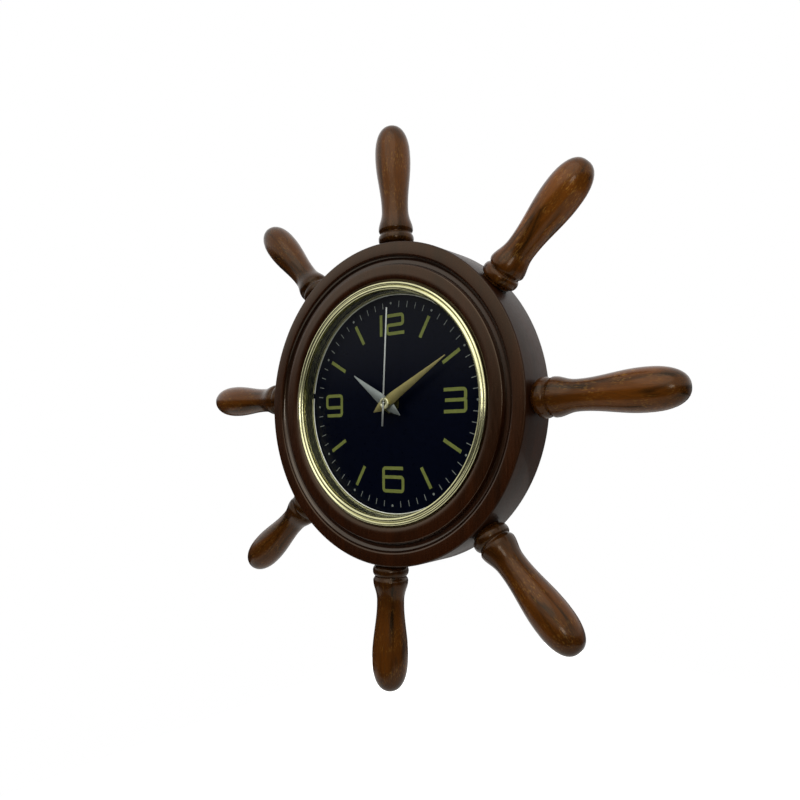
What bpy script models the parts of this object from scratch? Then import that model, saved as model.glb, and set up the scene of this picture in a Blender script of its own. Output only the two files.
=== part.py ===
"""Ship wheel wall clock: a turned wooden wheel with eight handles round a brass-bezelled quartz dial.

The clock is drawn lying on its back: X to the right, Y to 12 o'clock and Z out from the wall.
An empty then stands it up against the wall, which is the plane Y = 0, with its face towards -Y.
The world's origin is the point of the wall nail that the hanger plate hangs on.
"""

import math

import bmesh
import bpy

MM = 0.001
GAP = 0.3 * MM
TINY_MERGE = 0.00001
ALONG_X = (0.0, math.pi / 2, 0.0)

# Wheel body, a turned disc; its radius follows from the bezel and these ring widths
WHEEL_DEPTH = 31.0 * MM
WHEEL_EDGE_ROUND = 1.8 * MM
OUTER_RING_WIDTH = 8.8 * MM
INNER_RING_WIDTH = 11.3 * MM
COVE_WIDTH = 7.0 * MM
COVE_DEPTH = 3.0 * MM
COVE_STEP = 0.9 * MM
INNER_RING_EDGE_DROP = 1.0 * MM
BACK_EDGE_CHAMFER = 1.0 * MM
BACK_RECESS_RADIUS = 46.0 * MM
WHEEL_STEPS = 54

# Handles, turned and set by hand, so each stands a little off its eighth and leans off its radius
HANDLE_ANGLES_DEG = (1.5, 48.5, 90.5, 138.5, 182.5, 229.5, 274.0, 320.0)
HANDLE_LEANS_DEG = (-3.9, -3.2, -2.2, -1.7, -1.3, 1.7, -3.1, -3.9)
HANDLE_NAMES = (
    "handle_top",
    "handle_top_right",
    "handle_right",
    "handle_bottom_right",
    "handle_bottom",
    "handle_bottom_left",
    "handle_left",
    "handle_top_left",
)
HANDLE_AXIS_HEIGHT = 16.0 * MM
HANDLE_LENGTH = 88.5 * MM
TIP_LENGTH = 24.0 * MM
TIP_BLUNTNESS = 2.4
BULB_RADIUS = 12.6 * MM
NECK_RADIUS = 9.5 * MM
NECK_FROM_ROOT = 27.5 * MM
COLLAR_RADIUS = 12.3 * MM
COLLAR_FROM_ROOT = 12.2 * MM
COLLAR_EASE = 1.35
GROOVE_RADIUS = 11.0 * MM
GROOVE_FROM_ROOT = 8.9 * MM
BEAD_RADIUS = 12.6 * MM
BEAD_ROOT_RADIUS = 10.4 * MM
BEAD_LENGTH = 7.4 * MM
TENON_RADIUS = 7.0 * MM
TENON_LENGTH = 21.0 * MM
HANDLE_STEPS = 14

# Brass bezel, a cup with a double-beaded front, sized from the bore at its foot outwards
CUP_FOOT_RADIUS = 77.4 * MM
CUP_FLARE = 0.8 * MM
CUP_WALL = 0.6 * MM
BEZEL_LIP_SETBACK = 0.3 * MM
BEZEL_FLANGE_WIDTH = 3.8 * MM
INNER_BEAD_SHARE = 0.55
BEZEL_CROWN_HEIGHT = 31.3 * MM
BEZEL_LIP_THICKNESS = 0.6 * MM
BEZEL_FLANGE_HEIGHT = 29.0 * MM
BEZEL_STEPS = 54

# Glass and dial
GLASS_THICKNESS = 0.9 * MM
GLASS_STEPS = 42
GLASS_RINGS = 4
GLASS_RISE = 3.5 * MM
GLASS_CAPTURE = 0.9 * MM
DIAL_FACE_HEIGHT = 19.2 * MM
DIAL_THICKNESS = 1.0 * MM
RETAINING_WIRE_RADIUS = 0.45 * MM
RETAINING_GAP_DEG = 7.0

# Hands: heights are those of each blade's back face
HOUR_HAND_HEIGHT = 25.0 * MM
HOUR_HAND_LENGTH = 36.5 * MM
HOUR_TAIL_LENGTH = 15.0 * MM
HOUR_SHOULDER_AT = 5.5 * MM
MINUTE_HAND_HEIGHT = 26.1 * MM
MINUTE_HAND_LENGTH = 59.0 * MM
MINUTE_TAIL_LENGTH = 12.0 * MM
MINUTE_SHOULDER_AT = 8.0 * MM
BLADE_THICKNESS = 0.4 * MM
BLADE_HALF_WIDTH = 3.9 * MM
WAIST_HALF_WIDTH = 3.1 * MM
SECOND_HAND_HEIGHT = 28.3 * MM
SECOND_HAND_THICKNESS = 0.3 * MM
SECOND_HAND_LENGTH = 66.5 * MM
SECOND_TAIL_LENGTH = 16.0 * MM
SECOND_HAND_WIDTH = 1.9 * MM
SLEEVE_LENGTH = 0.5 * MM
SLEEVE_WALL = 0.4 * MM
COLLET_WALL = 0.7 * MM
COLLET_DEPTH = 1.1 * MM
HOUR_DEG = -55.0
MINUTE_DEG = 60.0
SECOND_DEG = 3.3
HAND_NUT_RADIUS = 3.9 * MM
HAND_NUT_THICKNESS = 1.2 * MM
HAND_NUT_CHAMFER = 0.35 * MM
LANCE_TIP_HALF_WIDTH = 0.35 * MM
LANCE_TAIL_HALF_WIDTH = 0.3 * MM

# Bush, nut and washers that hold the movement on the dial
BUSH_RADIUS = 4.0 * MM
BUSH_TOP = 23.5 * MM
BUSH_SETBACK = 0.4 * MM
HEX_NUT_HALF_WIDTH = 6.0 * MM
HEX_NUT_THICKNESS = 2.2 * MM
WASHER_RADIUS = 7.0 * MM
WASHER_THICKNESS = 0.5 * MM
RUBBER_WASHER_RADIUS = 12.0 * MM
RUBBER_WASHER_THICKNESS = 0.8 * MM

# Movement case
CASE_SIDE = 56.0 * MM
CASE_DEPTH = 14.5 * MM
CASE_WALL = 1.2 * MM
CASE_FLOOR = 1.0 * MM
CASE_FRONT_DEPTH = 7.3 * MM
CASE_CORNER = 1.5 * MM

# Arbors and tubes
SECONDS_ARBOR_RADIUS = 0.5 * MM
MINUTE_TUBE_RADIUS = 1.5 * MM
MINUTE_BORE_RADIUS = 0.7 * MM
HOUR_TUBE_RADIUS = 2.5 * MM
RUNNING_CLEARANCE = 0.15 * MM
ARBOR_RADIUS = 0.5 * MM
MOTION_ARBOR_RADIUS = 0.6 * MM
KNOB_SHAFT_RADIUS = 1.0 * MM
ARBOR_STEPS = 8
BORE_STEPS = 16
KNOB_RADIUS = 5.0 * MM
KNOB_THICKNESS = 1.1 * MM

# Gear train: tooth counts, modules, and the directions in which the arbors lie
WHEEL_THICKNESS = 0.8 * MM
LEVEL_GAP = 0.6 * MM
PLATE_GAP = 0.4 * MM
FRONT_CLEARANCE = 0.5 * MM
GEAR_PLATE_THICKNESS = 0.9 * MM
TOOTH_ABOVE_PITCH = 0.6
TOOTH_BELOW_PITCH = 1.4
TOOTH_TIP_SHARE = 0.06
ROTOR_TEETH = 6
STEP_WHEEL_TEETH = 36
STEP_PINION_TEETH = 6
SECONDS_WHEEL_TEETH = 30
SECONDS_PINION_TEETH = 6
THIRD_WHEEL_TEETH = 45
THIRD_PINION_TEETH = 6
CENTRE_WHEEL_TEETH = 48
CANNON_TEETH = 10
MOTION_WHEEL_TEETH = 30
MOTION_PINION_TEETH = 8
HOUR_WHEEL_TEETH = 32
KNOB_PINION_TEETH = 10
STEP_MODULE = 0.4 * MM
SECONDS_MODULE = 0.57 * MM
THIRD_MODULE = 0.4 * MM
MOTION_MODULE = 0.45 * MM
STEP_ARBOR_DEG = -50.0
ROTOR_FROM_STEP_DEG = -15.0
THIRD_ARBOR_DEG = 70.0
MOTION_ARBOR_DEG = -75.0
KNOB_FROM_MOTION_DEG = -90.0

# Stepping motor and circuit
MAGNET_RADIUS = 3.0 * MM
MAGNET_HEIGHT = 2.2 * MM
STATOR_THICKNESS = 1.0 * MM
STATOR_HOLE_CLEARANCE = 0.5 * MM
STATOR_BAR_HALF_WIDTH = 4.6 * MM
CORE_HALF_WIDTH = 1.0 * MM
STATOR_LEG_WIDTH = 3.5 * MM
COIL_RADIUS = 2.8 * MM
COIL_LENGTH = 14.4 * MM
COIL_FROM_ROTOR = 8.6 * MM
COIL_FLANGE = 0.8 * MM
WINDING_INSET = 0.4 * MM
BOARD_WIDTH = 21.0 * MM
BOARD_HEIGHT = 12.0 * MM
BOARD_THICKNESS = 1.0 * MM
CRYSTAL_RADIUS = 1.0 * MM
CRYSTAL_LENGTH = 6.0 * MM

# Battery, one AA cell
BATTERY_RADIUS = 7.1 * MM
BATTERY_LENGTH = 50.1 * MM
BATTERY_NUB_RADIUS = 2.7 * MM
BATTERY_NUB_LENGTH = 1.4 * MM
BATTERY_EDGE = 0.5 * MM
CONTACT_THICKNESS = 0.4 * MM
CONTACT_WIDTH = 9.0 * MM
DIMPLE_REACH = 1.4 * MM
DIMPLE_TIP_RADIUS = 1.6 * MM
DIMPLE_FOOT_RADIUS = 3.2 * MM

# Hanger on the back of the wheel body
HANG_FROM_RIM = 35.5 * MM
NAIL_SLOT_WIDTH = 4.8 * MM
KEYHOLE_RADIUS = 4.8 * MM
KEYHOLE_DROP = 9.0 * MM
HANGER_WIDTH = 46.0 * MM
HANGER_HEIGHT = 22.0 * MM
HANGER_THICKNESS = 1.5 * MM
HANGER_SETBACK = 0.2 * MM
HANGER_CORNER = 3.0 * MM
NAIL_POCKET_DEPTH = 9.0 * MM
HANGER_SCREW_SPACING = 34.0 * MM
SCREW_HEAD_RADIUS = 3.4 * MM
SCREW_SHANK_RADIUS = 1.5 * MM
SCREW_LENGTH = 12.0 * MM

# Radii that follow, from the bezel's bore outwards
CUP_TOP_RADIUS = CUP_FOOT_RADIUS + CUP_FLARE
BEZEL_LIP_RADIUS = CUP_TOP_RADIUS + BEZEL_LIP_SETBACK
GLASS_RADIUS = BEZEL_LIP_RADIUS + GLASS_CAPTURE
GLASS_SEAT_RADIUS = GLASS_RADIUS + GAP
CUP_OUTER_RADIUS = GLASS_SEAT_RADIUS + CUP_WALL
BEZEL_RADIUS = CUP_OUTER_RADIUS + BEZEL_FLANGE_WIDTH
REBATE_RADIUS = BEZEL_RADIUS + GAP
WHEEL_RADIUS = REBATE_RADIUS + INNER_RING_WIDTH + COVE_WIDTH + OUTER_RING_WIDTH
HANG_RISE = WHEEL_RADIUS - HANG_FROM_RIM

# Heights that follow
CUP_FOOT_HEIGHT = DIAL_FACE_HEIGHT + GAP
DIAL_BACK_HEIGHT = DIAL_FACE_HEIGHT - DIAL_THICKNESS
LEDGE_HEIGHT = DIAL_BACK_HEIGHT - GAP
CASE_FRONT = DIAL_BACK_HEIGHT - RUBBER_WASHER_THICKNESS - 2 * GAP
CASE_BACK = CASE_FRONT - CASE_DEPTH
CASE_SPLIT = CASE_FRONT - CASE_FRONT_DEPTH
CASE_INNER_FRONT = CASE_FRONT - CASE_FLOOR
CASE_INNER_BACK = CASE_BACK + CASE_FLOOR
CASE_INNER_HALF = CASE_SIDE / 2 - CASE_WALL
PIVOT_DEPTH = 0.6 * MM

# Levels of the wheels, from the front of the case to its back
HOUR_LEVEL = CASE_INNER_FRONT - FRONT_CLEARANCE - WHEEL_THICKNESS
MOTION_LEVEL = HOUR_LEVEL - WHEEL_THICKNESS - LEVEL_GAP
GEAR_PLATE_LEVEL = MOTION_LEVEL - GEAR_PLATE_THICKNESS - PLATE_GAP
CENTRE_LEVEL = GEAR_PLATE_LEVEL - WHEEL_THICKNESS - PLATE_GAP
THIRD_LEVEL = CENTRE_LEVEL - WHEEL_THICKNESS - LEVEL_GAP
SECONDS_LEVEL = THIRD_LEVEL - WHEEL_THICKNESS - LEVEL_GAP
STEP_LEVEL = SECONDS_LEVEL - WHEEL_THICKNESS - LEVEL_GAP
STATOR_LEVEL = SECONDS_LEVEL + GAP
COIL_HEIGHT = STATOR_LEVEL + STATOR_THICKNESS / 2

# Glass seat inside the bezel
GLASS_SEAT_TOP = BEZEL_FLANGE_HEIGHT + 0.4 * MM
GLASS_SEAT_BOTTOM = GLASS_SEAT_TOP - GLASS_THICKNESS - 2 * GAP
GLASS_EDGE_HEIGHT = GLASS_SEAT_BOTTOM + GAP


def polar(radius, degrees):
    """A point at this radius and this angle, clockwise from 12 o'clock."""
    angle = math.radians(degrees)
    return radius * math.sin(angle), radius * math.cos(angle)


def moved(start, radius, degrees):
    """A point this far from the start in this direction."""
    step = polar(radius, degrees)
    return start[0] + step[0], start[1] + step[1]


# Arbor places on the movement, seen from the front
THIRD_DISTANCE = THIRD_MODULE * (THIRD_WHEEL_TEETH + SECONDS_PINION_TEETH) / 2
CENTRE_MODULE = 2 * THIRD_DISTANCE / (CENTRE_WHEEL_TEETH + THIRD_PINION_TEETH)
SECONDS_DISTANCE = SECONDS_MODULE * (SECONDS_WHEEL_TEETH + STEP_PINION_TEETH) / 2
ROTOR_DISTANCE = STEP_MODULE * (STEP_WHEEL_TEETH + ROTOR_TEETH) / 2
MOTION_DISTANCE = MOTION_MODULE * (CANNON_TEETH + MOTION_WHEEL_TEETH) / 2
MOTION_PINION_MODULE = 2 * MOTION_DISTANCE / (MOTION_PINION_TEETH + HOUR_WHEEL_TEETH)
CENTRE = (0.0, 0.0)
STEP_ARBOR = polar(SECONDS_DISTANCE, STEP_ARBOR_DEG)
ROTOR_ARBOR = moved(STEP_ARBOR, ROTOR_DISTANCE, ROTOR_FROM_STEP_DEG)
THIRD_ARBOR = polar(THIRD_DISTANCE, THIRD_ARBOR_DEG)
MOTION_ARBOR = polar(MOTION_DISTANCE, MOTION_ARBOR_DEG)
KNOB_ARBOR = moved(MOTION_ARBOR, MOTION_DISTANCE, KNOB_FROM_MOTION_DEG)
BATTERY_PLACE_Y = -CASE_INNER_HALF + GAP + BATTERY_RADIUS
BATTERY_HEIGHT = CASE_INNER_FRONT - GAP - BATTERY_RADIUS
BAY_TOP_Y = BATTERY_PLACE_Y + BATTERY_RADIUS + GAP


def clear_scene():
    for old in list(bpy.data.objects):
        bpy.data.objects.remove(old, do_unlink=True)


def make_collection(name):
    made = bpy.data.collections.new(name)
    bpy.context.scene.collection.children.link(made)
    return made


def make_finish(name, colour, roughness, metallic=0.0, alpha=1.0):
    made = bpy.data.materials.new(name)
    made.use_nodes = True
    shader = made.node_tree.nodes["Principled BSDF"]
    shader.inputs["Base Color"].default_value = (*colour, 1.0)
    shader.inputs["Roughness"].default_value = roughness
    shader.inputs["Metallic"].default_value = metallic
    shader.inputs["Alpha"].default_value = alpha
    return made


def dark_wood(name):
    return make_finish(name, (0.036, 0.017, 0.010), 0.35)


def amber_wood(name):
    return make_finish(name, (0.130, 0.046, 0.012), 0.22)


def brass(name):
    return make_finish(name, (0.52, 0.46, 0.22), 0.18, metallic=1.0)


def champagne_metal(name):
    return make_finish(name, (0.42, 0.40, 0.30), 0.3, metallic=1.0)


def dial_enamel(name):
    return make_finish(name, (0.003, 0.005, 0.014), 0.4)


def clear_glass(name):
    return make_finish(name, (0.95, 0.97, 0.97), 0.02, alpha=0.2)


def zinc_steel(name):
    return make_finish(name, (0.50, 0.50, 0.48), 0.35, metallic=1.0)


def black_plastic(name):
    return make_finish(name, (0.012, 0.012, 0.013), 0.5)


def nylon(name):
    return make_finish(name, (0.72, 0.71, 0.66), 0.45)


def rubber(name):
    return make_finish(name, (0.010, 0.010, 0.010), 0.85)


def magnet_black(name):
    return make_finish(name, (0.03, 0.03, 0.033), 0.5, metallic=0.6)


def magnet_iron(name):
    return make_finish(name, (0.35, 0.35, 0.36), 0.4, metallic=1.0)


def copper(name):
    return make_finish(name, (0.55, 0.22, 0.10), 0.35, metallic=1.0)


def circuit_green(name):
    return make_finish(name, (0.02, 0.10, 0.04), 0.45)


def cell_wrap(name):
    return make_finish(name, (0.02, 0.03, 0.05), 0.35)


def put(name, data, place, finish=None, rotation=(0.0, 0.0, 0.0)):
    """One object on the clock. Without a finish it is a cutter or a piece to be joined."""
    obj = bpy.data.objects.new(name, data)
    obj.parent = CLOCK
    obj.location = place
    obj.rotation_euler = rotation
    if finish:
        data.materials.append(finish(name))
        PARTS.objects.link(obj)
    else:
        CUTTERS.objects.link(obj)
        obj.hide_render = True
        obj.display_type = "WIRE"
    return obj


def smooth(obj, degrees=35.0):
    obj.data.shade_smooth()
    obj.data.set_sharp_from_angle(angle=math.radians(degrees))


def turned(name, profile, steps, place, finish=None, rotation=(0.0, 0.0, 0.0), ring=False):
    """A turned shape: (radius, height) points that run down its outer side. A ring's profile closes."""
    mesh = bpy.data.meshes.new(name)
    points = [(radius, 0.0, height) for radius, height in profile]
    edges = [(i, i + 1) for i in range(len(points) - 1)]
    if ring:
        edges.append((len(points) - 1, 0))
    mesh.from_pydata(points, edges, [])
    obj = put(name, mesh, place, finish, rotation)
    screw = obj.modifiers.new("Turn", "SCREW")
    screw.steps = steps
    screw.render_steps = steps
    screw.use_merge_vertices = True
    screw.merge_threshold = TINY_MERGE
    screw.use_smooth_shade = True
    return obj


def rod(name, radius, low, high, steps, place, finish=None, rotation=(0.0, 0.0, 0.0)):
    profile = [(0.0, high), (radius, high), (radius, low), (0.0, low)]
    return turned(name, profile, steps, place, finish, rotation)


def tube(name, radius, bore, low, high, steps, place, finish=None):
    profile = [(bore, high), (radius, high), (radius, low), (bore, low)]
    return turned(name, profile, steps, place, finish, ring=True)


def box(name, low, high, finish=None):
    mesh = bpy.data.meshes.new(name)
    shape = bmesh.new()
    bmesh.ops.create_cube(shape, size=1.0)
    sides = [b - a for a, b in zip(low, high)]
    bmesh.ops.scale(shape, vec=sides, verts=shape.verts)
    shape.to_mesh(mesh)
    shape.free()
    middle = [(a + b) / 2 for a, b in zip(low, high)]
    return put(name, mesh, middle, finish)


def plate(name, outlines, low, high, place, finish=None, turn_deg=0.0):
    """A flat piece: the first outline is its edge and the others are its holes."""
    curve = bpy.data.curves.new(name, "CURVE")
    curve.dimensions = "2D"
    curve.fill_mode = "BOTH"
    curve.extrude = (high - low) / 2
    for outline in outlines:
        spline = curve.splines.new("POLY")
        spline.points.add(len(outline) - 1)
        for point, (x, y) in zip(spline.points, outline):
            point.co = (x, y, 0.0, 1.0)
        spline.use_cyclic_u = True
    flat = bpy.data.objects.new(name, curve)
    CUTTERS.objects.link(flat)
    graph = bpy.context.evaluated_depsgraph_get()
    mesh = bpy.data.meshes.new_from_object(flat.evaluated_get(graph))
    bpy.data.objects.remove(flat, do_unlink=True)
    shape = bmesh.new()
    shape.from_mesh(mesh)
    bmesh.ops.remove_doubles(shape, verts=shape.verts, dist=TINY_MERGE / 10)
    bmesh.ops.translate(shape, vec=(0.0, 0.0, (low + high) / 2), verts=shape.verts)
    bmesh.ops.recalc_face_normals(shape, faces=shape.faces)
    shape.to_mesh(mesh)
    shape.free()
    mesh.name = name
    return put(name, mesh, place, finish, (0.0, 0.0, -math.radians(turn_deg)))


def combine(obj, operation, others):
    for other in others:
        step = obj.modifiers.new(operation.title(), "BOOLEAN")
        step.operation = operation
        step.solver = "EXACT"
        step.object = other
    return obj


def cut(obj, *cutters):
    return combine(obj, "DIFFERENCE", cutters)


def join(obj, *others):
    return combine(obj, "UNION", others)


def bevel(obj, width, segments=1):
    step = obj.modifiers.new("Edges", "BEVEL")
    step.width = width
    step.segments = segments
    step.limit_method = "ANGLE"
    return obj


def circle(radius, count, centre=(0.0, 0.0)):
    return [moved(centre, radius, 360 * i / count) for i in range(count)]


def arc(centre, radii, start_deg, end_deg, count):
    """Points on an elliptic arc in a profile; angles run from the +radius side towards +height."""
    points = []
    for i in range(count + 1):
        angle = math.radians(start_deg + (end_deg - start_deg) * i / count)
        points.append(
            (centre[0] + radii[0] * math.cos(angle), centre[1] + radii[1] * math.sin(angle))
        )
    return points


def rectangle(left, low, right, high):
    return [(right, high), (right, low), (left, low), (left, high)]


def ease(share):
    """Half a wave: level at 0 and at 1."""
    return (1 - math.cos(math.pi * share)) / 2


# Wooden parts


def wheel_profile():
    """Runs from the bezel's rebate out across the mouldings, down the wall and back up the bore."""
    top = WHEEL_DEPTH
    ring_in = WHEEL_RADIUS - OUTER_RING_WIDTH
    cove_in = ring_in - COVE_WIDTH
    step_at = ring_in - COVE_WIDTH * 0.42
    rebate = REBATE_RADIUS
    rebate_floor = BEZEL_FLANGE_HEIGHT - GAP
    points = [
        (rebate, rebate_floor),
        (rebate, top - 1.4 * MM),
        (rebate + 0.8 * MM, top - INNER_RING_EDGE_DROP),
        (rebate + 1.5 * MM, top - 1.3 * MM),
        (rebate + 2.6 * MM, top - 0.4 * MM),
        ((rebate + cove_in) / 2 + 1.0 * MM, top),
        (cove_in - 0.9 * MM, top - 0.3 * MM),
    ]
    points += arc(
        (step_at, top - INNER_RING_EDGE_DROP),
        (step_at - cove_in, COVE_DEPTH - INNER_RING_EDGE_DROP),
        180,
        270,
        3,
    )
    points += [
        (step_at + 0.3 * MM, top - COVE_DEPTH + COVE_STEP),
        (ring_in - 1.2 * MM, top - 1.3 * MM),
        (ring_in, top - 0.2 * MM),
        (ring_in + OUTER_RING_WIDTH * 0.4, top),
    ]
    points += arc(
        (WHEEL_RADIUS - WHEEL_EDGE_ROUND, top - WHEEL_EDGE_ROUND),
        (WHEEL_EDGE_ROUND, WHEEL_EDGE_ROUND),
        80,
        0,
        2,
    )
    bore = CUP_OUTER_RADIUS + GAP
    points += [
        (WHEEL_RADIUS, BACK_EDGE_CHAMFER),
        (WHEEL_RADIUS - BACK_EDGE_CHAMFER, 0.0),
        (BACK_RECESS_RADIUS, 0.0),
        (BACK_RECESS_RADIUS, LEDGE_HEIGHT),
        (bore, LEDGE_HEIGHT),
        (bore, rebate_floor),
    ]
    return points


def handle_profile():
    """The turned handle from its tip to the end of its tenon, along its own axis from the root."""
    tip = HANDLE_LENGTH
    bulb = tip - TIP_LENGTH
    points = [(0.0, tip)]
    for share in (0.96, 0.82, 0.5):
        blunt = (1 - share**TIP_BLUNTNESS) ** (1 / TIP_BLUNTNESS)
        points.append((BULB_RADIUS * blunt, bulb + TIP_LENGTH * share))
    for share in (1.0, 0.75, 0.5, 0.25, 0.0):
        radius = NECK_RADIUS + (BULB_RADIUS - NECK_RADIUS) * ease(share)
        points.append((radius, NECK_FROM_ROOT + (bulb - NECK_FROM_ROOT) * share))
    for share in (0.5, 1.0):
        radius = NECK_RADIUS + (COLLAR_RADIUS - NECK_RADIUS) * ease(share**COLLAR_EASE)
        points.append((radius, NECK_FROM_ROOT + (COLLAR_FROM_ROOT - NECK_FROM_ROOT) * share))
    points.append((GROOVE_RADIUS, GROOVE_FROM_ROOT))
    bead_middle = GROOVE_FROM_ROOT - BEAD_LENGTH / 2
    bulge = BEAD_RADIUS - BEAD_ROOT_RADIUS
    points += arc((BEAD_ROOT_RADIUS, bead_middle), (bulge, BEAD_LENGTH / 2), 45, -90, 3)
    points += [
        (NECK_RADIUS, GAP),
        (TENON_RADIUS, GAP),
        (TENON_RADIUS, -TENON_LENGTH),
        (0.0, -TENON_LENGTH),
    ]
    return points


def on_handle_axis(index):
    """Place and rotation of a turned piece whose axis is a handle's, with its zero on the wall."""
    degrees = HANDLE_ANGLES_DEG[index]
    x, y = polar(WHEEL_RADIUS, degrees)
    heading = degrees + HANDLE_LEANS_DEG[index]
    return (x, y, HANDLE_AXIS_HEIGHT), (-math.pi / 2, 0.0, -math.radians(heading))


def make_handles():
    for index, name in enumerate(HANDLE_NAMES):
        place, rotation = on_handle_axis(index)
        handle = turned(name, handle_profile(), HANDLE_STEPS, place, amber_wood, rotation)
        smooth(handle)


def make_wheel_body():
    body = turned("wheel_body", wheel_profile(), WHEEL_STEPS, (0, 0, 0), dark_wood, ring=True)
    for index, name in enumerate(HANDLE_NAMES):
        place, rotation = on_handle_axis(index)
        socket = rod(
            name + "_socket",
            TENON_RADIUS + GAP,
            -TENON_LENGTH - GAP,
            5 * MM,
            HANDLE_STEPS,
            place,
            rotation=rotation,
        )
        cut(body, socket)
    cut(body, *hanger_cutters())
    smooth(body)


# Hanger on the back


def hanger_middle_y():
    return HANG_RISE - KEYHOLE_DROP / 2


def hanger_cutters():
    """The recess for the plate, the deeper pocket for the nail's head, and two pilot holes."""
    middle = hanger_middle_y()
    half_w = HANGER_WIDTH / 2 + GAP
    half_h = HANGER_HEIGHT / 2 + GAP
    recess_depth = HANGER_SETBACK + HANGER_THICKNESS + GAP
    recess = box(
        "hanger_recess", (-half_w, middle - half_h, -MM), (half_w, middle + half_h, recess_depth)
    )
    pocket = box(
        "nail_pocket",
        (-KEYHOLE_RADIUS - MM, HANG_RISE - KEYHOLE_DROP - KEYHOLE_RADIUS, recess_depth - MM),
        (KEYHOLE_RADIUS + MM, HANG_RISE + KEYHOLE_RADIUS, NAIL_POCKET_DEPTH),
    )
    pilots = [
        rod(
            f"hanger_pilot_{side}",
            SCREW_SHANK_RADIUS + GAP,
            -MM,
            SCREW_LENGTH + HANGER_SETBACK + 2 * GAP,
            12,
            (x, middle, 0.0),
        )
        for side, x in hanger_screw_places()
    ]
    return [recess, pocket, *pilots]


def hanger_screw_places():
    return (("left", -HANGER_SCREW_SPACING / 2), ("right", HANGER_SCREW_SPACING / 2))


def keyhole_outline():
    """A round hole for the nail's head with a slot that rises from it to the hanging point."""
    half = NAIL_SLOT_WIDTH / 2
    hole_y = HANG_RISE - KEYHOLE_DROP
    slot_deg = math.degrees(math.asin(half / KEYHOLE_RADIUS))
    points = []
    for i in range(17):
        degrees = slot_deg + (360 - 2 * slot_deg) * i / 16
        points.append(moved((0.0, hole_y), KEYHOLE_RADIUS, degrees))
    top_y = HANG_RISE
    points += [moved((0.0, top_y), half, degrees) for degrees in (-90, -45, 0, 45, 90)]
    return points


def screw_head_profile(extra):
    """Countersunk head and shank, from the head at the wall side inwards."""
    head = SCREW_HEAD_RADIUS + extra
    shank = SCREW_SHANK_RADIUS + extra
    low = HANGER_SETBACK + GAP / 2
    neck = low + SCREW_HEAD_RADIUS - SCREW_SHANK_RADIUS
    return head, shank, low, neck


def make_hanger():
    middle = hanger_middle_y()
    half_w, half_h = HANGER_WIDTH / 2, HANGER_HEIGHT / 2
    corner = HANGER_CORNER
    edge = []
    for sx, sy, start in ((1, 1, 0), (1, -1, 90), (-1, -1, 180), (-1, 1, 270)):
        centre = (sx * (half_w - corner), middle + sy * (half_h - corner))
        edge += [moved(centre, corner, start + turn) for turn in (0, 30, 60, 90)]
    hanger = plate(
        "hanger_plate",
        [edge, keyhole_outline()],
        HANGER_SETBACK,
        HANGER_SETBACK + HANGER_THICKNESS,
        (0, 0, 0),
        zinc_steel,
    )
    for side, x in hanger_screw_places():
        head, shank, low, neck = screw_head_profile(GAP)
        sink = [(0.0, neck + MM), (shank, neck + MM), (shank, neck), (head, low)]
        sink += [(head, -MM), (0.0, -MM)]
        cut(hanger, turned(f"hanger_sink_{side}", sink, 12, (x, middle, 0.0)))
        head, shank, low, neck = screw_head_profile(0.0)
        tip = HANGER_SETBACK + SCREW_LENGTH
        body = [(0.0, tip), (shank * 0.3, tip), (shank, tip - 3 * MM), (shank, neck), (head, low)]
        body += [(0.0, low)]
        smooth(turned(f"hanger_screw_{side}", body, 12, (x, middle, 0.0), zinc_steel))


# Bezel, glass and dial


def bezel_profile():
    """From the lip out over the two beads, down the flange and cup, and up past the glass seat."""
    lip_top = GLASS_SEAT_TOP + BEZEL_LIP_THICKNESS
    line_at = BEZEL_LIP_RADIUS + (BEZEL_RADIUS - BEZEL_LIP_RADIUS) * INNER_BEAD_SHARE
    inner_half = (line_at - BEZEL_LIP_RADIUS) / 2
    outer_half = (BEZEL_RADIUS - line_at) / 2
    rise = BEZEL_CROWN_HEIGHT - lip_top
    points = [(BEZEL_LIP_RADIUS, GLASS_SEAT_TOP), (BEZEL_LIP_RADIUS, lip_top)]
    points += arc((line_at - inner_half, lip_top), (inner_half, rise), 140, 20, 3)
    points += arc((line_at + outer_half, lip_top), (outer_half, rise), 150, 0, 3)
    points += [
        (BEZEL_RADIUS, BEZEL_FLANGE_HEIGHT),
        (CUP_OUTER_RADIUS, BEZEL_FLANGE_HEIGHT),
        (CUP_OUTER_RADIUS, CUP_FOOT_HEIGHT),
        (CUP_FOOT_RADIUS, CUP_FOOT_HEIGHT),
        (CUP_TOP_RADIUS, GLASS_SEAT_BOTTOM),
        (GLASS_SEAT_RADIUS, GLASS_SEAT_BOTTOM),
        (GLASS_SEAT_RADIUS, GLASS_SEAT_TOP),
    ]
    return points


def make_bezel():
    smooth(turned("brass_bezel", bezel_profile(), BEZEL_STEPS, (0, 0, 0), brass, ring=True))


def make_glass():
    curve = (GLASS_RADIUS**2 + GLASS_RISE**2) / (2 * GLASS_RISE)
    outer = []
    for i in range(GLASS_RINGS + 1):
        radius = GLASS_RADIUS * i / GLASS_RINGS
        sag = curve - math.sqrt(curve**2 - radius**2)
        outer.append((radius, GLASS_EDGE_HEIGHT + GLASS_RISE - sag))
    top = [(radius, height + GLASS_THICKNESS) for radius, height in outer]
    smooth(turned("glass", top + outer[::-1], GLASS_STEPS, (0, 0, 0), clear_glass))


def make_dial():
    profile_radius = CUP_OUTER_RADIUS - GAP
    hole = BUSH_RADIUS + GAP
    dial = tube(
        "dial_plate",
        profile_radius,
        hole,
        DIAL_BACK_HEIGHT,
        DIAL_FACE_HEIGHT,
        WHEEL_STEPS,
        (0, 0, 0),
        dial_enamel,
    )
    smooth(dial)


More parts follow.
